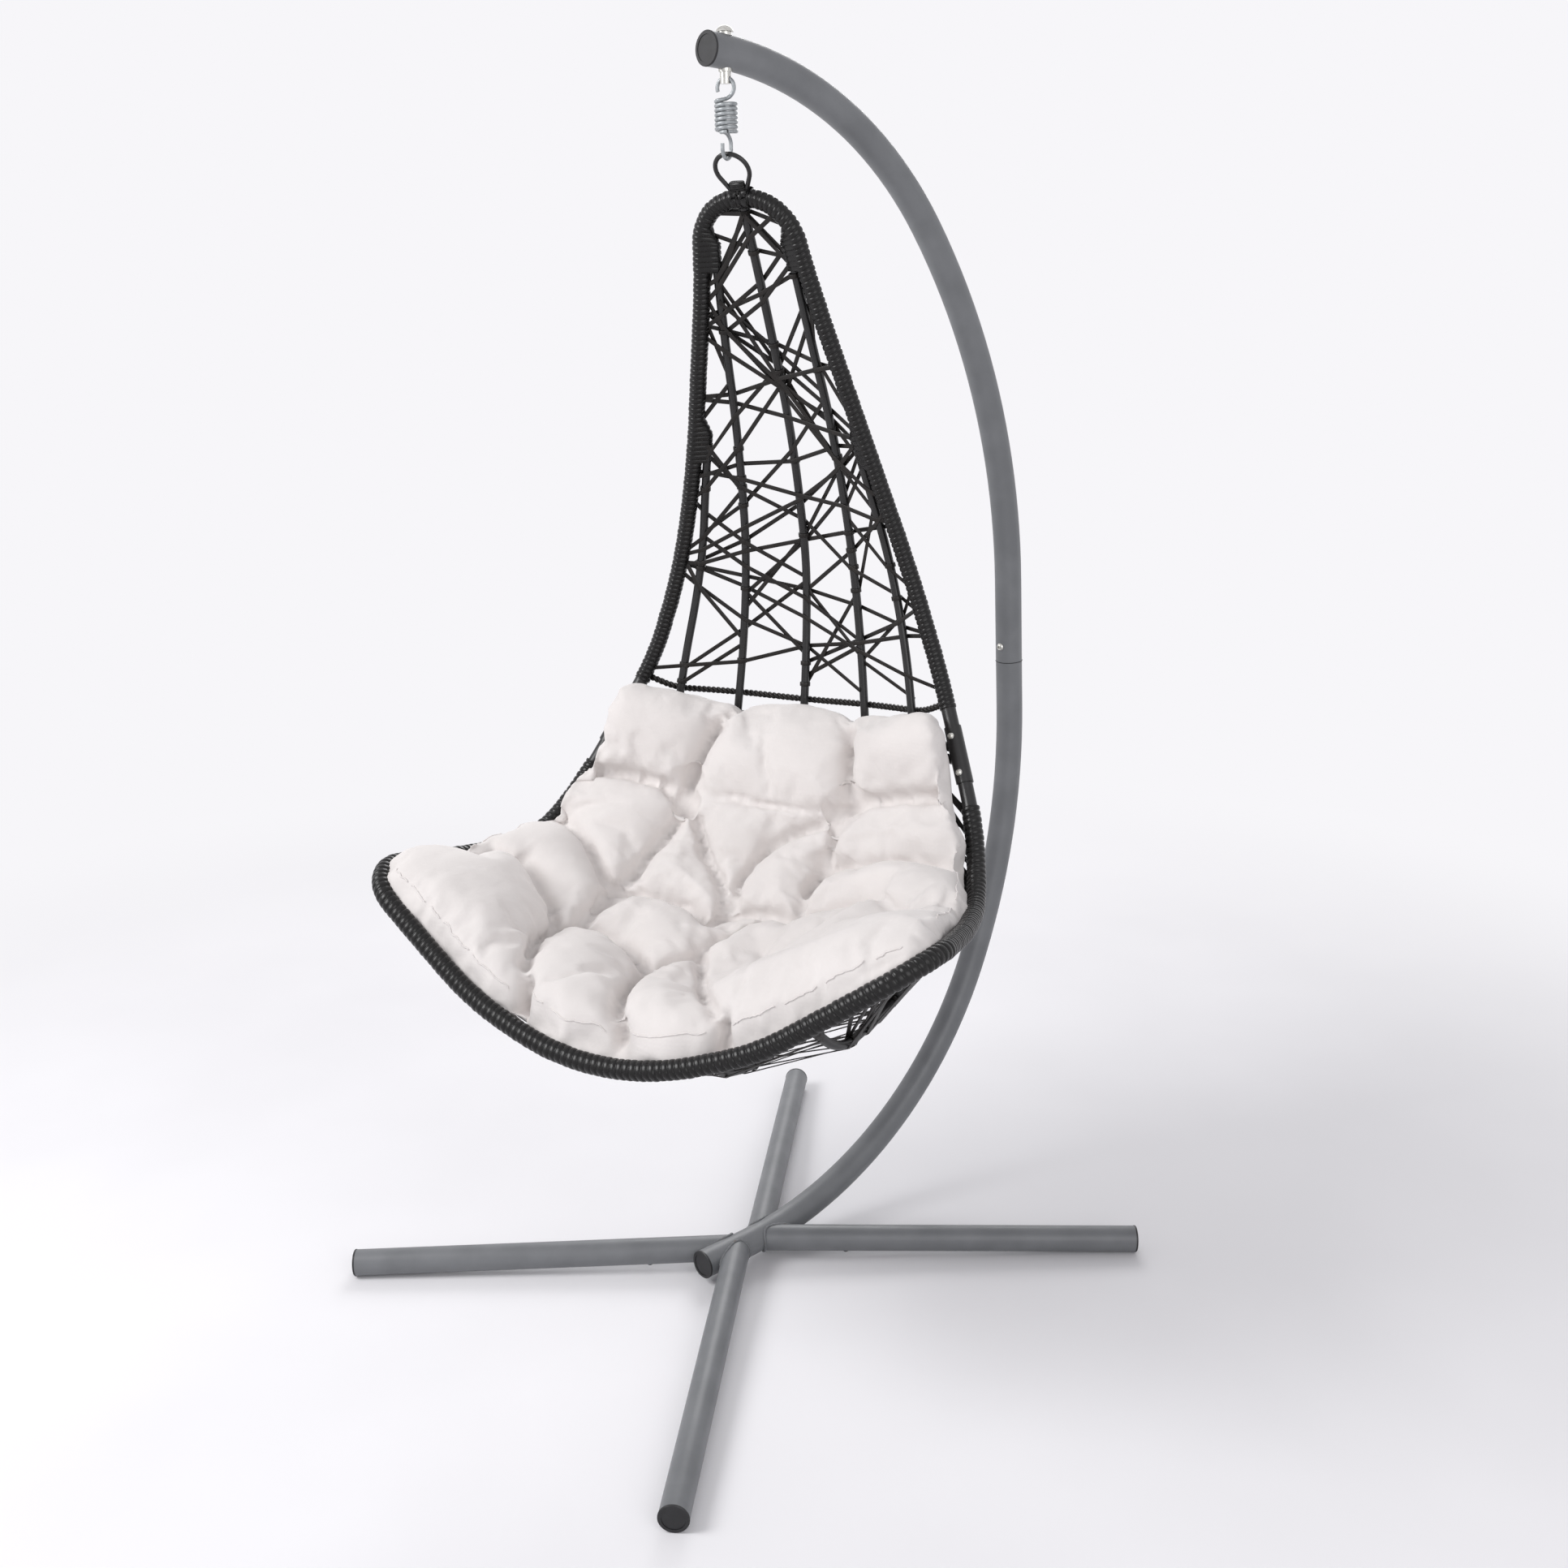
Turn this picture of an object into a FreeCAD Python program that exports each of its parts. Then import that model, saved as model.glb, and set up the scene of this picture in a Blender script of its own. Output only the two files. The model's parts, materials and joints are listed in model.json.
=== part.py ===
import FreeCAD, Part
import math
import os
import Sketcher
from FreeCAD import Placement, Rotation, Vector

# Hanging egg chair on a C-shaped stand. Millimetres, +Z up.
# Origin: the floor, straight below the hanging point, which is also the middle of the cross base.
# The bent tube lies in the plane X = 0 and stands behind the chair, towards +Y.

doc = FreeCAD.newDocument("hanging_egg_chair")
sheet = doc.addObject("Spreadsheet::Sheet", "Sizes")

SIZES = [
    ("tube_od", 48, "bent tube, outside"),
    ("tube_wall", 1.5, "bent tube, wall"),
    ("base_nose", 102, "middle of the cross to the front end of the bent tube"),
    ("base_run", 100, "straight run at the front end of the bent tube"),
    ("low_bend_radius", 635, "centreline"),
    ("low_bend_angle", 64.3, "degrees"),
    ("back_bend_radius", 1008, "centreline"),
    ("back_bend_angle", 28.8, "degrees"),
    ("back_run_low", 90, "straight run below the tube split"),
    ("back_run_high", 89, "straight run above the spigot of the tube split"),
    ("shoulder_radius", 1085, "centreline"),
    ("shoulder_angle", 35, "degrees"),
    ("top_bend_radius", 614, "centreline"),
    ("top_bend_angle", 49.6, "degrees"),
    ("neck_length", 60, "spigot of every plugged tube joint"),
    ("neck_play", 0.3, "gap all round a spigot"),
    ("arc_bolt_up", 30, "cross bolt above the tube split"),
    ("arc_bolt_head_od", 14, "cross bolt of the tube split"),
    ("shoulder_thick", 6, "disc inside the lower tube that carries the spigot"),
    ("leg_od", 45, "legs and their stubs, outside"),
    ("leg_wall", 1.5, "legs, wall"),
    ("stub_wall", 2.5, "spigots of the stubs, wall"),
    ("leg_reach", 665, "station on the base tube to the end of a leg"),
    ("stub_reach", 132.5, "station on the base tube to the split of a leg"),
    ("leg_angle", 41.5, "degrees between a leg and the base tube"),
    ("leg_slope", 1.4, "degrees that a leg falls towards its end"),
    ("leg_station", 24, "stations before and behind the middle of the cross"),
    ("leg_screw_place", 22, "leg screw beyond the split"),
    ("leg_screw_head_od", 13, "slotted leg screws"),
    ("leg_screw_length", 9, "slotted leg screws"),
    ("cap_lip", 3, "thickness of an end cap outside its tube"),
    ("cap_proud", 0.5, "end cap proud of its tube, all round"),
    ("cap_plug", 18, "end cap inside its tube"),
    ("pin_od", 16, "hanging pin"),
    ("pin_end", 1930, "height of the pin's lower end"),
    ("pin_head_od", 27, "domed head of the pin"),
    ("pin_head_rise", 9, "domed head of the pin"),
    ("pin_play", 0.1, "radial play of the pin in its bush"),
    ("bush_wall", 1.9, "welded bush through the tube's tip"),
    ("bush_proud", 2.5, "bush beyond the tube, top and bottom"),
    ("hang_height", 1938, "where the spring hangs in the pin"),
    ("spring_wire", 5.8, "wire of the spring"),
    ("spring_radius", 14.4, "mean radius of the turns"),
    ("spring_pitch", 6.25, "height of a turn"),
    ("spring_turns", 7, "close turns"),
    ("spring_top", 1906.5, "height of the first turn"),
    ("hook_radius", 13.5, "both hooks of the spring, mean radius"),
    ("hook_play", 0.8, "gap round the upper hook in the pin"),
    ("hook_drop", 21.5, "last turn to the middle of the lower hook"),
    ("hook_arm", 7, "straight arm of the lower hook"),
    ("link_play", 0.3, "gap where ring and lower hook touch in use"),
    ("ring_wire", 7, "wire of the basket's ring"),
    ("ring_radius", 27, "ring, mean radius"),
    ("ring_foot", 9, "half the spread of the ring's feet"),
    ("rest_yaw", 22, "degrees the chair is turned from straight forward"),
    ("frame_od", 24, "basket's frame tubes"),
    ("frame_wall", 1.2, "basket's frame tubes"),
    ("rib_od", 14, "ribs of the basket"),
    ("rib_wall", 1, "ribs of the basket"),
    ("bar_od", 16, "cross bars where the two frames meet"),
    ("hoop_wrap", 1.3, "wicker wound on the upper frame"),
    ("rim_wrap", 3, "wicker wound on the seat rim"),
    ("crown_back", 45, "top of the frame behind the hanging point"),
    ("crown_height", 1776, "top of the frame, centreline"),
    ("split_height", 919, "height where the two frames meet"),
    ("split_half", 317.5, "half the width there"),
    ("split_back", 158.5, "behind the hanging point there"),
    ("bar_gap", 3, "between the two cross bars"),
    ("sleeve_length", 96, "connector sleeve"),
    ("sleeve_wall", 2, "connector sleeve"),
    ("sleeve_open", 88, "degrees left open towards the inside"),
    ("sleeve_bolt_place", 31, "sleeve bolts above and below the split"),
    ("bolt_od", 6, "sleeve bolts and leg screws"),
    ("bolt_head_od", 11.5, "sleeve bolts"),
    ("nut_flats", 10, "nuts, across the flats"),
    ("nut_height", 5, "nuts"),
    ("strip_width", 6, "woven strips"),
    ("strip_thick", 1.4, "woven strips"),
    ("strand_od", 7, "twisted strand along the edge of the back"),
    ("lash_width", 16, "lashing between the ring's legs"),
    ("lash_height", 12, "lashing between the ring's legs"),
    ("seat_half", 477, "half the width over the front corners, centreline"),
    ("seat_front", 452, "front rim ahead of the hanging point"),
    ("bowl_height", 514, "lowest rib"),
    ("cushion_thick", 125, "cushion on the seat"),
    ("cushion_edge", 46, "height of its boxed edge"),
    ("cushion_gap", 4, "between cushion and frame"),
    ("tuft_depth", 48, "sewn tufts"),
    ("tuft_mouth", 46, "radius of a tuft at the surface"),
]
for row, (name, value, note) in enumerate(SIZES, 1):
    sheet.set("A%d" % row, name)
    sheet.set("B%d" % row, str(value))
    sheet.set("C%d" % row, note)
    sheet.setAlias("B%d" % row, name)
doc.recompute()


def size(name):
    return float(getattr(sheet, name))


def deg(name):
    return math.radians(size(name))


subparts = []


def keep(obj, label):
    obj.Label = label
    subparts.append(obj)
    return obj


def bind(obj, prop, expression):
    obj.setExpression(prop, expression)


def on_side(point, hand):
    # The same point or direction on the right (1) or the left (-1).
    return Vector(hand * point.x, point.y, point.z)


def moved(shape, placement):
    copy = shape.copy()
    copy.Placement = placement.multiply(copy.Placement)
    return copy


def along(start, direction, roll=None):
    # Placement that carries local +Z to the direction.
    turn = Rotation(Vector(0, 0, 1), direction)
    return Placement(start, turn if roll is None else turn.multiply(Rotation(Vector(0, 0, 1), roll)))


def feature(label, shape, placement=None):
    obj = doc.addObject("Part::Feature", "Shape_" + label)
    obj.Shape = shape
    if placement:
        obj.Placement = placement
    return keep(obj, label)


# Derived sizes

LEG_TOTAL = "(Sizes.leg_reach + Sizes.cap_lip)"
AXIS_HEIGHT = ("(%s * sin(Sizes.leg_slope * 1 deg) + (Sizes.leg_od / 2 + Sizes.cap_proud)"
               " * cos(Sizes.leg_slope * 1 deg))" % LEG_TOTAL)
axis_height = ((size("leg_reach") + size("cap_lip")) * math.sin(deg("leg_slope"))
               + (size("leg_od") / 2 + size("cap_proud")) * math.cos(deg("leg_slope")))
yaw = Placement(Vector(0, 0, 0), Rotation(Vector(0, 0, 1), size("rest_yaw")))
tube_r = size("tube_od") / 2


# Bodies made of one turned profile

def plane(body, role):
    return [item for item in body.Origin.OriginFeatures if item.Role == role][0]


def sketch_on(body, role, name, offset=None):
    sketch = body.newObject("Sketcher::SketchObject", name)
    sketch.AttachmentSupport = (plane(body, role), "")
    sketch.MapMode = "FlatFace"
    if offset:
        sketch.AttachmentOffset = offset
    return sketch


def evaluate(item):
    # A number, or the value of an expression on the sheet.
    if not isinstance(item, str):
        return float(item)
    found = sheet.evalExpression(item)
    return float(getattr(found, "Value", found))


def turned(label, outline, angle="360"):
    # outline: (radius, height) corners, each an expression or a number; turned about local Z.
    body = doc.addObject("PartDesign::Body", "Body_" + label)
    sketch = sketch_on(body, "XZ_Plane", "Outline_" + label)
    corners = [[evaluate(item) for item in pair] for pair in outline]
    count = len(corners)
    for index in range(count):
        one, two = corners[index], corners[(index + 1) % count]
        sketch.addGeometry(Part.LineSegment(Vector(*one, 0), Vector(*two, 0)), False)
    for index in range(count):
        sketch.addConstraint(Sketcher.Constraint("Coincident", index, 2, (index + 1) % count, 1))
    for index, pair in enumerate(outline):
        for kind, item, value in zip(("DistanceX", "DistanceY"), pair, corners[index]):
            number = sketch.addConstraint(Sketcher.Constraint(kind, -1, 1, index, 1, value))
            if isinstance(item, str):
                sketch.setExpression("Constraints[%d]" % number, item)
    turn = body.newObject("PartDesign::Revolution", "Turn_" + label)
    turn.Profile = sketch
    turn.ReferenceAxis = (sketch, ["V_Axis"])
    bind(turn, "Angle", "(%s) * 1 deg" % angle)
    body.Tip = turn
    return keep(body, label)


def drill(body, label, place, radius, length):
    # A round hole from the given placement, along its +Z.
    hole = body.newObject("PartDesign::SubtractiveCylinder", label)
    bind(hole, "Radius", radius)
    hole.Height = length
    hole.Placement = place
    body.Tip = hole
    return hole


# The bent tube: one centreline, cut at the split

BENT_TUBE = [
    # Length, or radius and angle, of each stretch from the front end to the tip.
    ("base_run",),
    ("low_bend_radius", "low_bend_angle"),
    ("back_bend_radius", "back_bend_angle"),
    ("back_run_low",),
    ("neck_length",),
    ("back_run_high",),
    ("shoulder_radius", "shoulder_angle"),
    ("top_bend_radius", "top_bend_angle"),
]
LOWER_STRETCHES = (0, 1, 2, 3)
NECK_STRETCH = 4
UPPER_STRETCHES = (4, 5, 6, 7)


def centreline():
    # Start, heading and curve of each stretch, in the tube's own plane, as (Y, Z).
    here = Vector(-size("base_nose"), axis_height, 0)
    heading = 0.0
    found = []
    for names in BENT_TUBE:
        first = size(names[0])
        if len(names) == 1:
            end = here + Vector(math.cos(heading), math.sin(heading), 0) * first
            found.append((here, heading, Part.LineSegment(here, end)))
        else:
            centre = here + Vector(-math.sin(heading), math.cos(heading), 0) * first
            turn = deg(names[1])
            circle = Part.Circle(centre, Vector(0, 0, 1), first)
            curve = Part.ArcOfCircle(circle, heading - math.pi / 2, heading + turn - math.pi / 2)
            found.append((here, heading, curve))
            end = curve.EndPoint
            heading += turn
        here = end
    return found, here, heading


spans, tip_point, tip_heading = centreline()
split_point, split_heading = spans[NECK_STRETCH][:2]


def path_sketch(body, name, used):
    sketch = sketch_on(body, "YZ_Plane", name)
    for start, heading, curve in spans:
        sketch.addGeometry(curve, False)

    def rule(constraint, expression):
        number = sketch.addConstraint(constraint)
        sketch.setExpression("Constraints[%d]" % number, expression)

    make = Sketcher.Constraint
    sketch.addConstraint(make("Horizontal", 0))
    rule(make("DistanceX", -1, 1, 0, 1, -size("base_nose")), "-Sizes.base_nose")
    rule(make("DistanceY", -1, 1, 0, 1, axis_height), AXIS_HEIGHT)
    for index, names in enumerate(BENT_TUBE):
        if index:
            sketch.addConstraint(make("Tangent", index - 1, 2, index, 1))
        if len(names) == 1:
            rule(make("Distance", index, size(names[0])), "Sizes." + names[0])
        else:
            rule(make("Radius", index, size(names[0])), "Sizes." + names[0])
            rule(make("Angle", index, deg(names[1])), "Sizes.%s * 1 deg" % names[1])
        if index not in used:
            sketch.toggleConstruction(index)
    return sketch


def ring_sketch(body, name, at, heading, outer, inner):
    # Two circles square to the centreline at a point of it.
    across = Placement(Vector(0, at.x, at.y), Rotation(Vector(1, 0, 0), 90 + math.degrees(heading)))
    base = Placement(Vector(0, 0, 0), Rotation(Vector(1, 0, 0), 90))
    sketch = sketch_on(body, "XZ_Plane", name, base.inverse().multiply(across))
    for index, diameter in enumerate((outer, inner)):
        sketch.addGeometry(Part.Circle(Vector(0, 0, 0), Vector(0, 0, 1), evaluate(diameter) / 2), False)
        sketch.addConstraint(Sketcher.Constraint("Coincident", index, 3, -1, 1))
        number = sketch.addConstraint(Sketcher.Constraint("Diameter", index, evaluate(diameter)))
        sketch.setExpression("Constraints[%d]" % number, diameter)
    return sketch


def bent_tube(body, name, used, outer, inner):
    start, heading, curve = spans[used[0]]
    pipe = body.newObject("PartDesign::AdditivePipe", name)
    pipe.Profile = ring_sketch(body, name + "_section", start, heading, outer, inner)
    pipe.Spine = path_sketch(body, name + "_path", used)
    body.Tip = pipe


TUBE_BORE = "(Sizes.tube_od - 2 * Sizes.tube_wall)"
NECK_OD = "(%s - 2 * Sizes.neck_play)" % TUBE_BORE
lower_arc = keep(doc.addObject("PartDesign::Body", "Body_lower_arc"), "lower_arc")
bent_tube(lower_arc, "Lower_bend", LOWER_STRETCHES, "Sizes.tube_od", TUBE_BORE)
doc.recompute()
bent_tube(lower_arc, "Neck", (NECK_STRETCH,), NECK_OD, NECK_OD + " - 4 * Sizes.tube_wall")
upper_arc = keep(doc.addObject("PartDesign::Body", "Body_upper_arc"), "upper_arc")
bent_tube(upper_arc, "Upper_bend", UPPER_STRETCHES, "Sizes.tube_od", TUBE_BORE)
doc.recompute()

# Shoulder inside the lower tube that carries the neck, and the cross bolt through the plugged joint
out = Vector(0, math.sin(split_heading), -math.cos(split_heading))
up = Vector(0, math.cos(split_heading), math.sin(split_heading))
split_at = Vector(0, split_point.x, split_point.y)
bolt_at = split_at + up * size("arc_bolt_up")
through = Placement(bolt_at - out * tube_r * 1.5, Rotation(Vector(0, 0, 1), out))
drill(lower_arc, "Lower_bolt_hole", through, "Sizes.bolt_od / 2 + 0.3", size("tube_od") * 1.5)
drill(upper_arc, "Upper_bolt_hole", through, "Sizes.bolt_od / 2 + 0.3", size("tube_od") * 1.5)
shoulder = lower_arc.newObject("PartDesign::AdditiveCylinder", "Shoulder")
bind(shoulder, "Radius", TUBE_BORE + " / 2")
bind(shoulder, "Height", "Sizes.shoulder_thick")
shoulder.Placement = Placement(split_at - up * size("shoulder_thick"), Rotation(Vector(0, 0, 1), up))
lower_arc.Tip = shoulder
doc.recompute()

# The tube over the hanging point: the pin's bush goes through it
top_bend = spans[-1][2]
arm_height = top_bend.Center.y + math.sqrt(top_bend.Radius ** 2 - top_bend.Center.x ** 2)
bush_r = size("pin_od") / 2 + size("pin_play") + size("bush_wall")
bush_low = arm_height - tube_r - size("bush_proud")
bush_high = arm_height + tube_r + size("bush_proud")
drill(upper_arc, "Bush_hole", Placement(Vector(0, 0, bush_low), Rotation()),
      "Sizes.pin_od / 2 + Sizes.pin_play + Sizes.bush_wall + 0.05", bush_high - bush_low)

PIN_R = "Sizes.pin_od / 2"
BORE_R = "(Sizes.pin_od / 2 + Sizes.pin_play)"
BUSH_R = "(%s + Sizes.bush_wall)" % BORE_R
bush = turned("hanger_bush", [
    (BORE_R, 0), (BUSH_R, 0),
    (BUSH_R, "Sizes.tube_od + 2 * Sizes.bush_proud"), (BORE_R, "Sizes.tube_od + 2 * Sizes.bush_proud"),
])
bush.Placement = Placement(Vector(0, 0, bush_low), Rotation())

# Hanging pin: domed head over the bush, and a curved eye that the spring's hook passes through
head_under = bush_high + 0.3
shank = doc.addObject("Part::Cylinder", "Pin_shank")
bind(shank, "Radius", PIN_R)
shank.Height = head_under - size("pin_end") + 1
shank.Placement = Placement(Vector(0, 0, size("pin_end")), Rotation())
dome_r = (size("pin_head_od") ** 2 / 4 + size("pin_head_rise") ** 2) / (2 * size("pin_head_rise"))
ball = doc.addObject("Part::Sphere", "Pin_dome")
ball.Radius = dome_r
ball.Placement = Placement(Vector(0, 0, head_under + size("pin_head_rise") - dome_r), Rotation())
slab = doc.addObject("Part::Cylinder", "Pin_dome_slice")
bind(slab, "Radius", "Sizes.pin_head_od")
bind(slab, "Height", "Sizes.pin_head_rise")
slab.Placement = Placement(Vector(0, 0, head_under), Rotation())
dome = doc.addObject("Part::Common", "Pin_head")
dome.Base, dome.Tool = ball, slab
whole = doc.addObject("Part::Fuse", "Pin_blank")
whole.Base, whole.Tool = dome, shank
eye = doc.addObject("Part::Torus", "Pin_eye")
bind(eye, "Radius1", "Sizes.hook_radius")
bind(eye, "Radius2", "Sizes.spring_wire / 2 + Sizes.hook_play")
eye.Placement = Placement(Vector(0, 0, size("hang_height") - size("hook_radius")),
                          Rotation(Vector(1, 0, 0), 90))
pin = doc.addObject("Part::Cut", "Pin")
pin.Base, pin.Tool = whole, eye
pin.Placement = yaw
keep(pin, "hanger_pin")


# Cross base

def end_cap(label, od, wall, placement):
    # Moulded plug: outer lip with a low raised ring on its face, and a hollow shank in the tube.
    lip = "Sizes.%s / 2 + Sizes.cap_proud" % od
    bore = "(Sizes.%s / 2 - Sizes.%s - 0.5)" % (od, wall)
    cap = turned(label, [
        (0, "Sizes.cap_lip - 0.9"), ("Sizes.%s / 2 - 5" % od, "Sizes.cap_lip - 0.9"),
        ("Sizes.%s / 2 - 5" % od, "Sizes.cap_lip"), (lip + " - 1", "Sizes.cap_lip"),
        (lip, "Sizes.cap_lip - 1"), (lip, 0), (bore, 0), (bore, "-Sizes.cap_plug"),
        (bore + " - 2.5", "-Sizes.cap_plug"), (bore + " - 2.5", -1), (0, -1),
    ])
    cap.Placement = placement


neck_od = "(Sizes.leg_od - 2 * Sizes.leg_wall - 2 * Sizes.neck_play)"
stub_bore = neck_od + " / 2 - Sizes.stub_wall"
LEGS = {"left": (-1, -1), "front": (1, -1), "right": (1, 1), "back": (-1, 1)}
screw_holes = []
low_bend = spans[1][2]
low_bend_middle = Placement(Vector(0, low_bend.Center.x, low_bend.Center.y), Rotation(Vector(0, 1, 0), 90))
for side, (across, ahead) in LEGS.items():
    azimuth = math.degrees(math.atan2(ahead * math.cos(deg("leg_angle")),
                                      across * math.sin(deg("leg_angle"))))
    station = Vector(0, ahead * size("leg_station"), axis_height)
    spin = Rotation(Vector(0, 0, 1), azimuth)
    place = Placement(station, spin.multiply(Rotation(Vector(0, 1, 0), 90 + size("leg_slope"))))
    outward = place.Rotation.multVec(Vector(0, 0, 1))

    stub = turned("leg_stub_" + side, [
        (stub_bore, 0), ("Sizes.leg_od / 2", 0),
        ("Sizes.leg_od / 2", "Sizes.stub_reach"), (neck_od + " / 2", "Sizes.stub_reach"),
        (neck_od + " / 2", "Sizes.stub_reach + Sizes.neck_length"),
        (stub_bore, "Sizes.stub_reach + Sizes.neck_length"),
    ])
    stub.Placement = place
    doc.recompute()
    base_tube = Placement(Vector(0, -size("leg_reach"), axis_height), Rotation(Vector(1, 0, 0), -90))
    drill(stub, "Cope_" + side, place.inverse().multiply(base_tube), "Sizes.tube_od / 2",
          2 * size("leg_reach"))
    rising = stub.newObject("PartDesign::SubtractiveTorus", "Rising_cope_" + side)
    bind(rising, "Radius1", "Sizes.low_bend_radius")
    bind(rising, "Radius2", "Sizes.tube_od / 2")
    rising.Placement = place.inverse().multiply(low_bend_middle)
    stub.Tip = rising
    behind = stub.newObject("PartDesign::SubtractiveBox", "Behind_" + side)
    behind.Length = behind.Width = behind.Height = 4 * tube_r
    inner_face = Placement(Vector(0 if across < 0 else -4 * tube_r, ahead * size("leg_station") - 2 * tube_r,
                                  axis_height - 2 * tube_r), Rotation())
    behind.Placement = place.inverse().multiply(inner_face)
    stub.Tip = behind

    screw_up = size("stub_reach") + size("leg_screw_place")
    screw_place = Placement(Vector(size("leg_od") / 2, 0, screw_up), Rotation(Vector(0, 1, 0), -90))
    drill(stub, "Stub_hole_" + side, screw_place, "Sizes.bolt_od / 2", size("leg_od") / 2)

    leg = turned("leg_" + side, [
        ("Sizes.leg_od / 2 - Sizes.leg_wall", "Sizes.stub_reach"), ("Sizes.leg_od / 2", "Sizes.stub_reach"),
        ("Sizes.leg_od / 2", "Sizes.leg_reach"), ("Sizes.leg_od / 2 - Sizes.leg_wall", "Sizes.leg_reach"),
    ])
    leg.Placement = place
    doc.recompute()
    drill(leg, "Leg_hole_" + side, screw_place, "Sizes.bolt_od / 2 + 0.3", size("leg_od") / 2)
    end_cap("leg_cap_" + side, "leg_od", "leg_wall",
            place.multiply(Placement(Vector(0, 0, size("leg_reach")), Rotation())))
    screw_holes.append(place.multiply(screw_place))

end_cap("base_cap", "tube_od", "tube_wall",
        along(Vector(0, -size("base_nose"), axis_height), Vector(0, -1, 0)))
tip_at = Vector(0, tip_point.x, tip_point.y)
end_cap("tip_cap", "tube_od", "tube_wall",
        along(tip_at, Vector(0, math.cos(tip_heading), math.sin(tip_heading))))


# Fasteners

def dome_head(radius, rise):
    bulge = (radius ** 2 + rise ** 2) / (2 * rise)
    cap = Part.makeSphere(bulge, Vector(0, 0, rise - bulge))
    return cap.common(Part.makeCylinder(radius * 2, rise))


def hexagon(across_flats, start, height):
    radius = across_flats / math.sqrt(3)
    corners = [Vector(radius * math.cos(math.pi * k / 3), radius * math.sin(math.pi * k / 3), start)
               for k in range(7)]
    return Part.Face(Part.makePolygon(corners)).extrude(Vector(0, 0, height))


def screw(head_od, shank_od, length, drive):
    # Head above the local origin, shank below it; the drive is cut into the head's upper part.
    head_rise = 0.35 * head_od
    body = dome_head(head_od / 2, head_rise).fuse(
        Part.makeCylinder(shank_od / 2, length, Vector(0, 0, 0), Vector(0, 0, -1)))
    if drive == "slot":
        width = head_od / 8
        cut = Part.makeBox(2 * head_od, width, head_rise, Vector(-head_od, -width / 2, head_rise * 0.45))
    else:
        cut = hexagon(head_od / 3, head_rise * 0.3, head_rise)
    return body.cut(cut).removeSplitter()


def nut():
    bore = Part.makeCylinder(size("bolt_od") / 2 + seat_gap, size("nut_height"))
    return hexagon(size("nut_flats"), 0, size("nut_height")).cut(bore)


seat_gap = 0.1
leg_screw = screw(size("leg_screw_head_od"), size("bolt_od") - 2 * seat_gap, size("leg_screw_length"), "slot")
flip = Placement(Vector(0, 0, -seat_gap), Rotation(Vector(1, 0, 0), 180))
feature("leg_screws", Part.makeCompound(
    [moved(leg_screw, place.multiply(flip)) for place in screw_holes]))

past_nut = size("nut_height") + 4
arc_bolt = screw(size("arc_bolt_head_od"), size("bolt_od"), size("tube_od") + past_nut, "hex")
feature("arc_bolt", arc_bolt,
        Placement(bolt_at - out * (tube_r + seat_gap), Rotation(Vector(0, 0, 1), -out)))
feature("arc_nut", nut(), Placement(bolt_at + out * (tube_r + seat_gap), Rotation(Vector(0, 0, 1), out)))


# Wire and tube paths

def arc_between(start, tangent, end):
    # Arc that leaves the start along the tangent and ends at the given point.
    chord = end - start
    away = chord.cross(tangent).cross(tangent)
    if away.Length < 1e-6 * chord.Length:
        return Part.LineSegment(start, end)
    away.normalize()
    if away.dot(chord) < 0:
        away = away * -1
    radius = chord.dot(chord) / (2 * chord.dot(away))
    centre = start + away * radius
    middle = (start + end) * 0.5 - centre
    if middle.Length < 1e-9:
        middle = tangent
    side = 1 if chord.dot(tangent) >= 0 else -1
    middle.normalize()
    return Part.Arc(start, centre + middle * radius * side, end)


def biarc(start, first, end, last):
    # Two arcs from one point and direction to another.
    chord = end - start
    both = first + last
    curve = 2 * (first.dot(last) - 1)
    slope = -2 * chord.dot(both)
    square = chord.dot(chord)
    if abs(curve) < 1e-9:
        reach = -square / slope
    else:
        reach = (-slope - math.sqrt(slope ** 2 - 4 * curve * square)) / (2 * curve)
    middle = (start + first * reach + end - last * reach) * 0.5
    back = arc_between(end, last * -1, middle)
    return [arc_between(start, first, middle), back]


def rounded(points):
    # Straight runs joined by tangent arcs, each as large as its two runs allow.
    edges = []
    here = points[0]
    for before, corner, after in zip(points, points[1:], points[2:]):
        inward = (before - corner)
        outward = (after - corner)
        room = 0.5 * min(inward.Length, outward.Length)
        inward.normalize()
        outward.normalize()
        enter = corner + inward * room
        leave = corner + outward * room
        if (enter - here).Length > 1e-3:
            edges.append(Part.LineSegment(here, enter).toShape())
        half = 0.5 * (math.pi - inward.getAngle(outward))
        radius = room / math.tan(half)
        to_centre = inward + outward
        to_centre.normalize()
        crest = corner + to_centre * (radius / math.cos(half) - radius)
        edges.append(Part.Arc(enter, crest, leave).toShape())
        here = leave
    if (points[-1] - here).Length > 1e-3:
        edges.append(Part.LineSegment(here, points[-1]).toShape())
    return Part.Wire(edges)


def sweep(path, radius):
    # Round solid along a wire.
    start = path.OrderedEdges[0]
    first = start.FirstParameter if start.Orientation == "Forward" else start.LastParameter
    at = start.valueAt(first)
    tangent = start.tangentAt(first)
    if start.Orientation != "Forward":
        tangent = tangent * -1
    ring = Part.Wire(Part.Circle(at, tangent, radius).toShape())
    solid = path.makePipeShell([ring], True, False)
    wanted = math.pi * radius ** 2 * path.Length
    if abs(solid.Volume / wanted - 1) > 0.002:
        raise ValueError("sweep volume %.1f, wanted %.1f" % (solid.Volume, wanted))
    return solid


# Spring: upper hook, close turns; the lower hook is a piece of its own, because it travels

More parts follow.
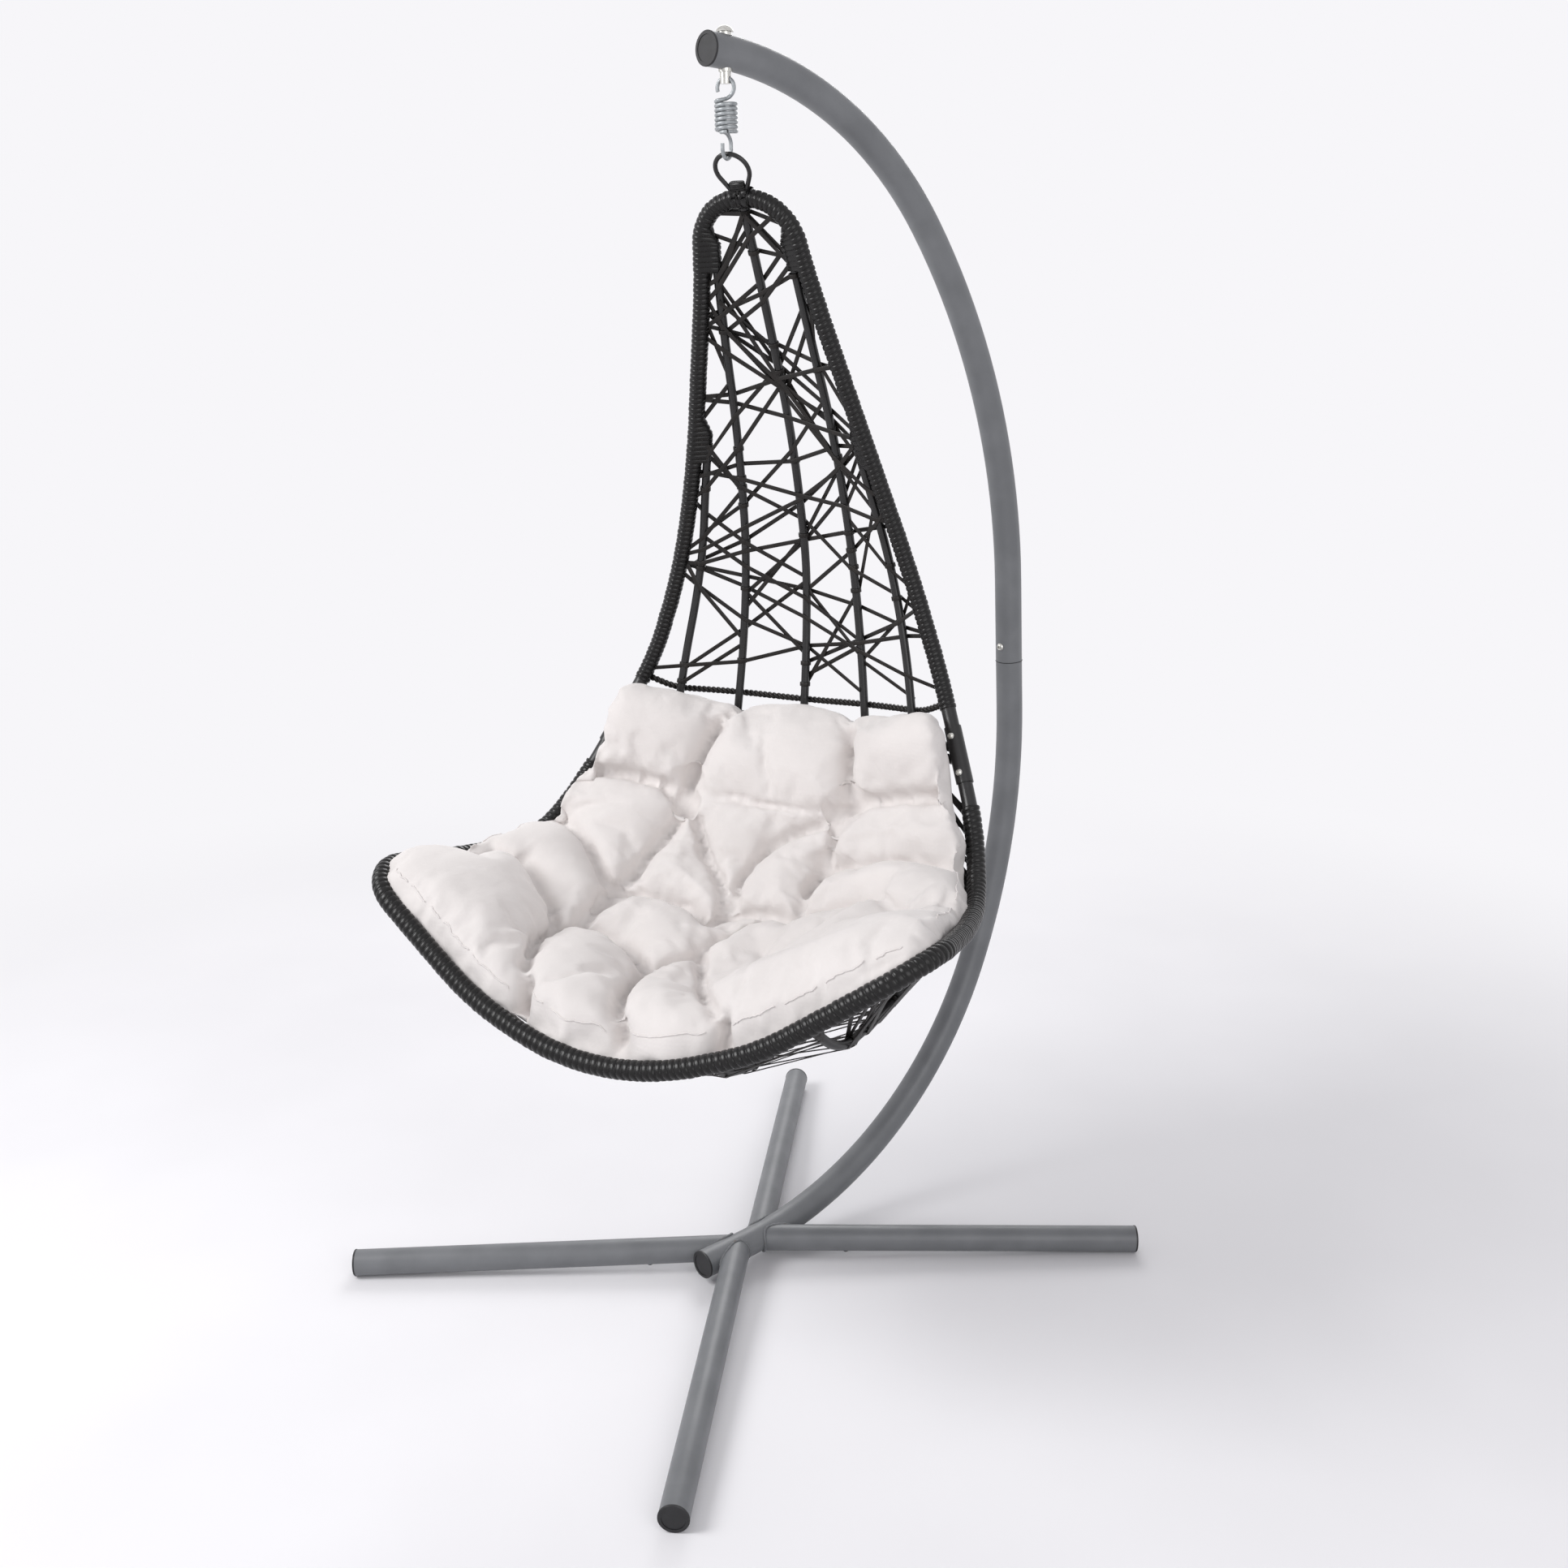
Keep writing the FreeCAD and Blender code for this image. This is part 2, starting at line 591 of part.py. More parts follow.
wire_r = size("spring_wire") / 2
hook_r = size("hook_radius")
coil_r = size("spring_radius")
coil_bottom = size("spring_top") - size("spring_turns") * size("spring_pitch")
upper_centre = Vector(0, 0, size("hang_height") - hook_r)
fall = -size("spring_pitch") / (2 * math.pi * coil_r)


def on_coil(turn):
    # Point and direction on the close turns, which run clockwise as they fall.
    angle = math.radians(240) - 2 * math.pi * turn
    point = Vector(coil_r * math.cos(angle), coil_r * math.sin(angle),
                   size("spring_top") - size("spring_pitch") * turn)
    way = Vector(math.sin(angle), -math.cos(angle), fall)
    way.normalize()
    return point, way


def on_hook(angle):
    point = upper_centre + Vector(math.cos(angle), 0, math.sin(angle)) * hook_r
    return point, Vector(math.sin(angle), 0, -math.cos(angle))


hook_tip, hook_top, hook_end = math.radians(200), math.radians(90), math.radians(-50)
edges = [
    Part.Arc(on_hook(hook_tip)[0], on_hook((hook_tip + hook_top) / 2)[0], on_hook(hook_top)[0]),
    Part.Arc(on_hook(hook_top)[0], on_hook((hook_top + hook_end) / 2)[0], on_hook(hook_end)[0]),
]
edges += biarc(*on_hook(hook_end), *on_coil(0.0))
last_turn = size("spring_turns") - 1 / 6
steps = int(round(last_turn * 4))
turns = [last_turn * step / steps for step in range(steps + 1)]
for one, two in zip(turns, turns[1:]):
    edges += biarc(*on_coil(one), *on_coil(two))
coil_path = Part.Wire([curve.toShape() for curve in edges])
coil = sweep(coil_path, wire_r)
spring = feature("spring_coil", coil, yaw)

coil_end, coil_way = on_coil(last_turn)
lower_centre = Vector(0, 0, coil_bottom - size("hook_drop"))
hook_arm = Vector(0, 0, size("hook_arm"))
hook_front, hook_back = lower_centre + Vector(0, -hook_r, 0), lower_centre + Vector(0, hook_r, 0)
foot_start = coil_end + coil_way * size("link_play")
hook_edges = biarc(foot_start, coil_way, hook_back + hook_arm, Vector(0, 0, -1))
hook_edges.append(Part.LineSegment(hook_back + hook_arm, hook_back))
hook_edges.append(Part.Arc(hook_back, lower_centre + Vector(0, 0, -hook_r), hook_front))
hook_edges.append(Part.LineSegment(hook_front, hook_front + hook_arm))
hook_path = Part.Wire([curve.toShape() for curve in hook_edges])
feature("spring_hook", sweep(hook_path, wire_r), yaw)
gap_points = coil_path.discretize(Distance=1.0)
apart = 20
least = min((one - two).Length for index, one in enumerate(gap_points)
            for two in gap_points[index + apart:])
print("least gap of the spring to itself: %.2f mm" % (least - 2 * wire_r))

# Basket: its outlines are drawn at these sizes and stretched to the ones on the sheet

DRAWN = {"split_half": 317.5, "split_back": 158.5, "split_height": 919, "crown_back": 45,
         "crown_height": 1776, "seat_half": 477, "seat_front": 452, "bowl_height": 514}


def change(name):
    return size(name) - DRAWN[name]


def upper(across, back, height):
    # A point of the upper frame: to the chair's right, behind the hanging point, above the floor.
    share = (height - DRAWN["split_height"]) / (DRAWN["crown_height"] - DRAWN["split_height"])
    return Vector(across * size("split_half") / DRAWN["split_half"],
                  back + (1 - share) * change("split_back") + share * change("crown_back"),
                  size("split_height") + share * (size("crown_height") - size("split_height")))


def lower(across, back, height):
    # The same for the seat frame, which hangs from the split.
    down = (DRAWN["split_height"] - height) / (DRAWN["split_height"] - DRAWN["bowl_height"])
    ahead = (DRAWN["split_back"] - back) / (DRAWN["split_back"] + DRAWN["seat_front"])
    ahead = min(1, max(0, ahead))
    wider = ((1 - ahead) * size("split_half") / DRAWN["split_half"]
             + ahead * size("seat_half") / DRAWN["seat_half"])
    return Vector(across * wider,
                  back + (1 - ahead) * change("split_back") - ahead * change("seat_front"),
                  size("split_height") - down * (size("split_height") - size("bowl_height")))


def mirror(points):
    return [on_side(point, -1) for point in points]


def loop(half):
    # A symmetric outline from its right half, which is given from the sleeve on.
    inner = half[:-1] if abs(half[-1].x) < 1e-6 else half
    return half + mirror(inner)[::-1]


def crossing(points, axis, value):
    # Where a chain of points first passes a value along one axis.
    for one, two in zip(points, points[1:]):
        low, high = getattr(one, axis) - value, getattr(two, axis) - value
        if low * high <= 0 and low != high:
            return one + (two - one) * (low / (low - high))
    raise ValueError("no crossing of %s at %g" % (axis, value))


frame_r = size("frame_od") / 2
hoop_wrap_r = frame_r + size("hoop_wrap")
rim_wrap_r = frame_r + size("rim_wrap")
rib_r = size("rib_od") / 2
bar_r = size("bar_od") / 2
skin_gap = 0.1
rest_gap = 0.4
rib_gap = 1
split = upper(DRAWN["split_half"], DRAWN["split_back"], DRAWN["split_height"])
crown = upper(0, DRAWN["crown_back"], DRAWN["crown_height"])
# Direction of the frame tubes through the split, downwards on the right
joint_way = Vector(48, -49, -106).normalize()

hoop_path = rounded(loop([
    split,
    split - joint_way * 126,
    upper(212, 212, 1195),
    upper(160, 172, 1375),
    upper(117, 117, 1550),
    upper(93, 88, 1648),
    upper(71, DRAWN["crown_back"], DRAWN["crown_height"]),
]))
rim_path = rounded(loop([
    split,
    split + joint_way * 119,
    lower(404, 16, 728),
    lower(440, -130, 738),
    lower(477, -373, 787),
    lower(330, -405, 687),
    lower(235, -424, 624),
    lower(76, -449, 573),
]))
STEPS = 600
hoop_right = hoop_path.discretize(Number=STEPS + 1)[STEPS // 2::-1]
rim_right = rim_path.discretize(Number=STEPS + 1)[:STEPS // 2 + 1]


def tube(label, path, radius, wall):
    shape = sweep(path, radius)
    bare = math.pi * radius ** 2 * path.Length
    print("%s: %.1f mm long, volume over section by length %.5f" % (label, path.Length, shape.Volume / bare))
    return shape, shape.cut(sweep(path, radius - wall))


hoop_full, hoop_tube = tube("upper_hoop", hoop_path, frame_r, size("frame_wall"))
rim_full, rim_tube = tube("seat_rim", rim_path, frame_r, size("frame_wall"))

# Connector sleeves over the split, open towards the inside where the cross bars leave

bar_drop = bar_r + size("bar_gap") / 2
bar_plan = [upper(across, back, DRAWN["split_height"]) for across, back in ((224, 199), (122, 234), (0, 248))]


def square_to_joint(way):
    return (way - joint_way * way.dot(joint_way)).normalize()


slot_way = square_to_joint(bar_plan[0] - split)
bolt_way = square_to_joint(Vector(0, -1, 0))
SLEEVE_IN = "(Sizes.frame_od / 2 + 0.1)"
SLEEVE_OUT = "(%s + Sizes.sleeve_wall)" % SLEEVE_IN
sleeve_out = evaluate(SLEEVE_OUT)
frame_bolt = screw(size("bolt_head_od"), size("bolt_od"), size("frame_od") + past_nut, "hex")
bolt_shapes, nut_shapes, bolt_holes = [], [], []
for name, hand in (("left", -1), ("right", 1)):
    middle, way = on_side(split, hand), on_side(joint_way, hand)
    slot, facing = on_side(slot_way, hand), on_side(bolt_way, hand)
    sleeve = turned("sleeve_" + name, [
        (SLEEVE_IN, "-Sizes.sleeve_length / 2"), (SLEEVE_OUT, "-Sizes.sleeve_length / 2"),
        (SLEEVE_OUT, "Sizes.sleeve_length / 2"), (SLEEVE_IN, "Sizes.sleeve_length / 2"),
    ], "360 - Sizes.sleeve_open")
    # The open side is half the opening short of the start of the turn.
    open_way = Rotation(Vector(0, 0, 1), -size("sleeve_open") / 2)
    target = Rotation(slot, Vector(0, 0, 0), way, "ZXY")
    place = Placement(middle, target.multiply(open_way.inverted()))
    sleeve.Placement = yaw.multiply(place)
    doc.recompute()
    for index, sign in enumerate((-1, 1)):
        at = middle + way * (sign * size("sleeve_bolt_place"))
        hole = Placement(at - facing * size("frame_od"), Rotation(Vector(0, 0, 1), facing))
        drill(sleeve, "Bolt_hole_%s_%d" % (name, index), place.inverse().multiply(hole),
              "Sizes.bolt_od / 2 + 0.3", 2 * size("frame_od"))
        bolt_holes.append(moved(Part.makeCylinder(size("bolt_od") / 2 + 0.3, 2 * size("frame_od")), hole))
        seat = facing * (sleeve_out + seat_gap)
        bolt_shapes.append(moved(frame_bolt, Placement(at + seat, Rotation(Vector(0, 0, 1), facing))))
        nut_shapes.append(moved(nut(), Placement(at - seat, Rotation(Vector(0, 0, 1), facing * -1))))
feature("sleeve_bolts", Part.makeCompound(bolt_shapes), yaw)
feature("sleeve_nuts", Part.makeCompound(nut_shapes), yaw)

# Cross bars, one on each frame, coped onto the tube ends

cope_shapes = []
for hand in (-1, 1):
    middle, way = on_side(split, hand), on_side(joint_way, hand)
    stretch = 2 * size("sleeve_length")
    cope_shapes.append(Part.makeCylinder(frame_r, stretch, middle - way * stretch / 2, way))


def cross_bar(label, rise):
    onto = split + joint_way * (rise / joint_way.z)
    path = rounded(loop([onto] + [point + Vector(0, 0, rise) for point in bar_plan]))
    full = sweep(path, bar_r)
    bar = full.cut(sweep(path, bar_r - size("frame_wall")))
    for cope in cope_shapes:
        bar = bar.cut(cope)
        full = full.cut(cope)
    feature(label, bar, yaw)
    return full


upper_bar = cross_bar("upper_cross_bar", bar_drop)
lower_bar = cross_bar("lower_cross_bar", -bar_drop)

# Ribs: the back ones stand on the upper bar, the seat ones hang from the lower bar


def beside_hoop(height, back_turn):
    # A rib's end that lies along the hoop, clear of its winding.
    at = crossing(hoop_right, "z", upper(0, 0, height).z)
    reach = hoop_wrap_r + rib_r + rib_gap
    turn = math.radians(back_turn)
    return at + Vector(-math.cos(turn), math.sin(turn), 0) * reach


def on_rim(across):
    front = [point for point in rim_right if point.y < -size("seat_front") / 2]
    return crossing(front[::-1], "x", lower(across, -DRAWN["seat_front"], 0).x)


bar_outer, bar_inner, bar_centre = bar_plan
above = Vector(0, 0, bar_drop)
back_ribs = {
    "centre": [crown, upper(0, 115, 1632), upper(0, 212, 1420), upper(0, 266, 1200), upper(0, 262, 1060),
               bar_centre + above],
    "inner": [beside_hoop(1702, 20), upper(74, 120, 1582), upper(87, 187, 1416), upper(98, 234, 1225),
              upper(110, 243, 1070), bar_inner + above],
    "outer": [beside_hoop(1400, 20), upper(152, 190, 1320), upper(170, 213, 1230), upper(190, 219, 1130),
              upper(208, 211, 1040), bar_outer + above],
}
seat_ribs = {
    "centre": [bar_centre - above, lower(0, 238, 860), lower(0, 213, 760), lower(0, 160, 658),
               lower(0, 78, 580), lower(0, -35, 526), lower(0, -160, 506), lower(0, -290, 514),
               lower(0, -390, 542), rim_right[-1]],
    "inner": [bar_inner - above, lower(121, 230, 860), lower(128, 206, 760), lower(138, 155, 663),
              lower(148, 72, 588), lower(155, -38, 538), lower(160, -165, 520), lower(163, -290, 535),
              lower(165, -385, 566), on_rim(166)],
    "outer": [bar_outer - above, lower(260, 172, 820), lower(299, 100, 704), lower(324, -20, 632),
              lower(331, -160, 611), lower(322, -330, 606), on_rim(311)],
}
rib_paths, fat_ribs = {}, []
rib_sets = (("back", back_ribs, (hoop_full, upper_bar)), ("seat", seat_ribs, (rim_full, lower_bar)))
for part, ribs, ends in rib_sets:
    for name, points in ribs.items():
        hands = (("", 1),) if name == "centre" else (("_left", -1), ("_right", 1))
        for hand_name, hand in hands:
            placed = points if hand > 0 else mirror(points)
            path = rounded(placed)
            rib = sweep(path, rib_r).cut(sweep(path, rib_r - size("rib_wall")))
            for end in ends:
                rib = rib.cut(end)
            feature("%s_rib_%s%s" % (part, name, hand_name), rib, yaw)
            rib_paths[part, name + hand_name] = path
            if name == "centre" or part == "seat":
                tip = placed[0] if part == "back" else placed[-1]
                before = placed[1] if part == "back" else placed[-2]
                reach = (tip - before).normalize()
                fat_ribs.append(Part.makeCylinder(rib_r + rest_gap, 5 * frame_r, tip - reach * 4 * frame_r,
                                                  reach))

# Ring that hangs in the spring's lower hook, its two legs welded to the crown

ring_r = size("ring_wire") / 2
ring_top = Vector(0, 0, lower_centre.z - hook_r + wire_r + size("link_play") + ring_r)
lean = ring_top - crown
ring_reach = lean.Length
lean.normalize()
ring_centre = ring_top - lean * size("ring_radius")


def in_ring(across, up_lean):
    return ring_centre + Vector(across, 0, 0) + lean * up_lean


foot = (size("ring_foot"), size("ring_radius") - ring_reach + frame_r / 2)
foot_angle = math.atan2(foot[1], foot[0]) + math.acos(size("ring_radius") / math.hypot(*foot))


def on_ring(angle):
    return in_ring(size("ring_radius") * math.cos(angle), size("ring_radius") * math.sin(angle))


over = math.pi - foot_angle
ring_wire = Part.Wire([
    Part.LineSegment(in_ring(*foot), on_ring(foot_angle)).toShape(),
    Part.Arc(on_ring(foot_angle), on_ring((foot_angle + math.pi / 2) / 2), on_ring(math.pi / 2)).toShape(),
    Part.Arc(on_ring(math.pi / 2), on_ring((math.pi / 2 + over) / 2), on_ring(over)).toShape(),
    Part.LineSegment(on_ring(over), in_ring(-foot[0], foot[1])).toShape(),
])
feature("hang_ring", sweep(ring_wire, ring_r).cut(hoop_full), yaw)
ring_clear = sweep(ring_wire, ring_r + rest_gap)

lash_r = size("lash_height") / 2
lash_half = size("lash_width") / 2
lash_place = Placement(crown + lean * (hoop_wrap_r + rest_gap),
                       Rotation(Vector(1, 0, 0), Vector(0, 0, 0), lean, "ZXY"))
lash = Part.makeBox(2 * lash_half, 2 * lash_r, size("lash_height"), Vector(-lash_half, -lash_r, 0))
for hand in (-1, 1):
    lash = lash.fuse(Part.makeCylinder(lash_r, size("lash_height"), Vector(hand * lash_half, 0, 0)))
feature("ring_lashing", moved(lash.removeSplitter(), lash_place).cut(ring_clear), yaw)

# Wicker wound on the two frames, as sleeves over the tubes, open where ribs and ring are welded on


def winding(label, path, radius, start, way):
    skin = sweep(path, radius).cut(sweep(path, frame_r + skin_gap))
    for hand in (-1, 1):
        bare = 3 * size("sleeve_length")
        skin = skin.cut(Part.makeCylinder(3 * frame_r, bare, on_side(start, hand), on_side(way, hand)))
    for fat in fat_ribs:
        skin = skin.cut(fat)
    feature(label, skin.cut(ring_clear), yaw)


hoop_bare, rim_bare = 80, 90
winding("hoop_wrap", hoop_path, hoop_wrap_r, split - joint_way * hoop_bare, joint_way)
winding("rim_wrap", rim_path, rim_wrap_r, split + joint_way * rim_bare, joint_way * -1)
for fastened, label in ((hoop_tube, "upper_hoop"), (rim_tube, "seat_rim")):
    for hole in bolt_holes:
        fastened = fastened.cut(hole)
    feature(label, fastened, yaw)

# Twisted strand along the lower edge of the back's weave, behind the ribs

strand_r = size("strand_od") / 2
strand_back = rib_r + strand_r + 8
edge = []
for foot_of_rib, rise, outwards in ((bar_centre, 40, 0.0), (bar_inner, 46, 0.35), (bar_outer, 52, 0.6)):
    edge.append(foot_of_rib + Vector(0, 0, rise) + Vector(outwards, 1, 0).normalize() * strand_back)
hoop_low = crossing(hoop_right, "z", split.z + 76)
edge.append(hoop_low + (edge[-1] - hoop_low).normalize() * (hoop_wrap_r + strand_r + 1))
strand_path = rounded(loop(edge[::-1]))
feature("edge_strand", sweep(strand_path, strand_r), yaw)

# Weave: strips between neighbouring ribs, in two layers that slant opposite ways


def stretch_of(points, low, high):
    return [point for point in points if low <= point.z <= high]


def place_on(points, share):
    # The point and the direction at a share of a chain's length.
    lengths = [(two - one).Length for one, two in zip(points, points[1:])]
    left = share * sum(lengths)
    for one, two, length in zip(points, points[1:], lengths):
        if left <= length:
            break
        left -= length
    way = (two - one).normalize()
    return one + way * min(left, length), way


def strip(one, way_one, r_one, two, way_two, r_two, lift):
    # A flat strip from one rail's surface to the other's, on one of the two layers.
    run = two - one
    length = run.Length
    run.normalize()
    normal = run.cross(way_one + way_two).normalize()
    ends = []
    for way, radius in ((way_one, r_one), (way_two, r_two)):
        lean_sin = abs(run.dot(way))
        lean_cos = math.sqrt(1 - lean_sin ** 2)
        ends.append((radius + rib_gap + size("strip_width") / 2 * lean_sin) / lean_cos)
    span = length - sum(ends)
    if span < 2 * size("strip_width"):
        return None
    box = Part.makeBox(span, size("strip_width"), size("strip_thick"),
                       Vector(0, -size("strip_width") / 2, -size("strip_thick") / 2))
    turn = Rotation(run, Vector(0, 0, 0), normal, "XZY")
    return moved(box, Placement(one + run * ends[0] + normal * lift, turn))


def weave(label, panels, slant):
    # Each panel: its two rails with their radii, strips per layer, and the shares it starts and ends at.
    for name, hand in (("left", -1), ("right", 1)):
        strips = []
        for rail_one, r_one, rail_two, r_two, count, lowest, highest in panels:
            first = rail_one if hand > 0 else mirror(rail_one)
            second = rail_two if hand > 0 else mirror(rail_two)
            for family in (-1, 1):
                lift = family * (size("strip_thick") / 2 + rest_gap)
                for index in range(count):
                    middle = lowest + (highest - lowest) * (index + 0.5) / count
                    low, high = middle - family * slant / 2, middle + family * slant / 2
                    if min(low, high) < lowest or max(low, high) > highest:
                        continue
                    made = strip(*place_on(first, low), r_one, *place_on(second, high), r_two, lift)
                    if made:
                        strips.append(made)
        feature("%s_%s" % (label, name), Part.makeCompound(strips), yaw)


def chain(part, name):
    return rib_paths[part, name].discretize(Number=200)


# Heights at which the back's weave starts, changes rail and ends
weave_low = split.z + 62
hoop_low_end = split.z + 84
fork_low, fork_high = upper(0, 0, 1370).z, upper(0, 0, 1436).z
inner_top, centre_top = upper(0, 0, 1640).z, upper(0, 0, 1690).z
outer_back, inner_back = chain("back", "outer_right"), chain("back", "inner_right")
centre_back = chain("back", "centre")
weave("weave_back_outer", [
    (stretch_of(hoop_right, hoop_low_end, fork_low), hoop_wrap_r,
     stretch_of(outer_back, hoop_low_end, fork_low), rib_r, 7, 0.1, 1),
], 0.10)
weave("weave_back_middle", [
    (stretch_of(outer_back, weave_low, fork_low), rib_r,
     stretch_of(inner_back, weave_low, fork_low), rib_r, 6, 0, 1),
    (stretch_of(hoop_right, fork_high, inner_top), hoop_wrap_r,
     stretch_of(inner_back, fork_high, inner_top), rib_r, 4, 0, 1),
], 0.16)
weave("weave_back_inner", [
    (stretch_of(inner_back, weave_low, centre_top), rib_r,
     stretch_of(centre_back, weave_low, centre_top), rib_r, 9, 0, 1),
], 0.10)

outer_seat, inner_seat = chain("seat", "outer_right"), chain("seat", "inner_right")
centre_seat = chain("seat", "centre")
# The outer bay ends where the outer rib meets the rim; its strips start low on the rim
meeting = on_rim(311)
under = Vector(0, 0, -16)
rim_side = [point + under for point in rim_right
            if point.z < split.z - 80 and (point.x > meeting.x + 6 or point.y > -size("seat_front") / 2)]
weave("weave_seat_outer", [(rim_side, rim_wrap_r, outer_seat, rib_r, 9, 0.06, 0.92)], 0.10)
weave("weave_seat_middle", [(outer_seat, rib_r, inner_seat, rib_r, 10, 0.04, 0.95)], 0.10)
weave("weave_seat_inner", [(inner_seat, rib_r, centre_seat, rib_r, 10, 0.04, 0.96)], 0.10)

# Cushion: crescent sections on planes that fan out from a line above the front of the seat

fan_ahead = size("seat_front") - 262
fan_height = size("bowl_height") + 586
fan_front, fan_back = -65.8, -159.5
side_room_front, side_room_back = 34, 24
side_sink_front, side_sink_back = 8, -20
section_count = 10
pinch = 5
tuft_pit = 4
middle_rail = centre_back[:-1] + centre_seat
side_rail = hoop_right[:-1] + rim_right
# Sewn tufts: angle on the fan, and how far to the chair's right
TUFTS = [(-134, -150), (-134, 142), (-120, 128), (-107, 0), (-105, -195)]


def fan(angle, across, reach):
    turn = math.radians(angle)
    return Vector(across, -(fan_ahead + math.cos(turn) * reach), fan_height + math.sin(turn) * reach)


def fan_hit(points, angle):
    # Where a chain of points passes the fan's half plane: how far across, and how far out.
    turn = math.radians(angle)
    spread = []
    for point in points:
        ahead, rise = -point.y - fan_ahead, point.z - fan_height
        spread.append((ahead * math.sin(turn) - rise * math.cos(turn),
                       ahead * math.cos(turn) + rise * math.sin(turn), point.x))
    for one, two in zip(spread, spread[1:]):
        if one[0] * two[0] <= 0 and one[0] != two[0] and one[1] > 0:
            share = one[0] / (one[0] - two[0])
            return one[2] + share * (two[2] - one[2]), one[1] + share * (two[1] - one[1])
    raise ValueError("the fan misses the rail at %g" % angle)


def crescent(angle):
    # Half width, reach of the lower corner, reach of the lowest point and thickness at a fan angle.
    share = (angle - fan_front) / (fan_back - fan_front)
    tall_part = 0.5 - 0.5 * math.cos(math.pi * min(1, max(0, (share - 0.4) / 0.35)))
    half, side_reach = fan_hit(side_rail, angle)
    room = side_room_front + (side_room_back - side_room_front) * tall_part
    sink = side_sink_front + (side_sink_back - side_sink_front) * tall_part
    middle_reach = fan_hit(middle_rail, angle)[1] - rib_r - size("cushion_gap") - 4
    fullness = math.sin(math.pi * min(1, max(0, share))) ** 0.45
    thick = size("cushion_edge") + (size("cushion_thick") - size("cushion_edge")) * fullness
    return half - room, side_reach + sink, middle_reach, thick


def section(angle):
    half, side_reach, middle_reach, thick = crescent(angle)
    edge_reach = side_reach - size("cushion_edge")
    corners = [fan(angle, -half, side_reach), fan(angle, half, side_reach),
               fan(angle, half - pinch, edge_reach), fan(angle, -half + pinch, edge_reach)]
    return Part.Wire([
        Part.Arc(corners[0], fan(angle, 0, middle_reach), corners[1]).toShape(),
        Part.LineSegment(corners[1], corners[2]).toShape(),
        Part.Arc(corners[2], fan(angle, 0, middle_reach - thick), corners[3]).toShape(),
        Part.LineSegment(corners[3], corners[0]).toShape(),
    ])


def tuft(angle, across):
    # A dimple with a round lip, set square to the cushion's upper surface.
    half, side_reach, middle_reach, thick = crescent(angle)
    top = middle_reach - thick
    edge = side_reach - size("cushion_edge")
    rise = top - edge
    bow = ((half - pinch) ** 2 + rise ** 2) / (2 * rise)
    reach = top - bow + math.sqrt(bow ** 2 - across ** 2)
    outward = fan(angle, 0, top - bow) - fan(angle, across, reach)
    depth = size("tuft_depth")
    lip = size("tuft_mouth") - tuft_pit
    eighth = math.radians(45)
    halfway = Vector(tuft_pit + lip * (1 - math.cos(eighth)), 0, lip * (math.sin(eighth) - 1))
    throat = Part.Arc(Vector(tuft_pit, 0, -lip), halfway, Vector(tuft_pit + lip, 0, 0))
    sides = Part.makePolygon([
        Vector(tuft_pit + lip, 0, 0), Vector(tuft_pit + lip, 0, depth), Vector(0, 0, depth),
        Vector(0, 0, -depth), Vector(tuft_pit, 0, -depth), Vector(tuft_pit, 0, -lip),
    ])
    outline = Part.Wire([throat.toShape()] + sides.Edges)
    solid = Part.Face(outline).revolve(Vector(0, 0, 0), Vector(0, 0, 1), 360)
    return moved(solid, Placement(fan(angle, across, reach), Rotation(Vector(0, 0, 1), outward)))


angles = [fan_front + (fan_back - fan_front) * step / (section_count - 1) for step in range(section_count)]
cushion = Part.makeLoft([section(angle) for angle in angles], True, False)
plump = cushion.Volume
for place in TUFTS:
    cushion = cushion.cut(tuft(*place))
print("cushion: %.1f litres, of which the tufts took %.2f" % (plump / 1e6, (plump - cushion.Volume) / 1e6))
feature("cushion", cushion, yaw)

doc.recompute()
for obj in doc.Objects:
    if "Invalid" in obj.State or "Error" in obj.State:
        raise ValueError("%s is %s" % (obj.Label, obj.State))
for obj in subparts:
    if obj.Shape.isNull() or not obj.Shape.isValid():
        raise ValueError("%s has no valid shape" % obj.Label)
os.makedirs("parts", exist_ok=True)
for obj in subparts:
    obj.Shape.exportStep("parts/%s.step" % obj.Label)
print("%d sub-parts written" % len(subparts))
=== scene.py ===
import json
import math
import random
import bmesh
import bpy
import numpy as np
from mathutils import Matrix, Vector, noise
from mathutils.bvhtree import BVHTree


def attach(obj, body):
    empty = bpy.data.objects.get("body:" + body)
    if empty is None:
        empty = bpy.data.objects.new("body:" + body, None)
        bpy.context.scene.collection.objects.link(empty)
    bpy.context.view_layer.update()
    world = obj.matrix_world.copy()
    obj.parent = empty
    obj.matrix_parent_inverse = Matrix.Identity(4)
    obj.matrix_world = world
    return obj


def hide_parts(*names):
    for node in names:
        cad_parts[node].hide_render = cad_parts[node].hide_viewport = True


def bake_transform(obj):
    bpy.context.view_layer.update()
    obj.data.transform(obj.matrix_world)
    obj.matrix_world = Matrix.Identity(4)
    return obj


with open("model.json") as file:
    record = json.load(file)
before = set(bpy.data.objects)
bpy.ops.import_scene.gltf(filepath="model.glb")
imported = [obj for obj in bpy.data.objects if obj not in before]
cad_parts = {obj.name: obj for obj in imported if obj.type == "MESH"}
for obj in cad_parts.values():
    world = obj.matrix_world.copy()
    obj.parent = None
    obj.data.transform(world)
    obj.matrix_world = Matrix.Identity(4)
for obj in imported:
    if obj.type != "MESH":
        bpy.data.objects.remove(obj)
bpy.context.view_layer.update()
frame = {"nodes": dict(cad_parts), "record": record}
nodes = frame["nodes"]
scene = bpy.context.scene
mm = 0.001

# The basket hangs turned about the hanging axis; its own directions are right, back and up
basketTurn = Matrix.Rotation(math.radians(22), 4, "Z")


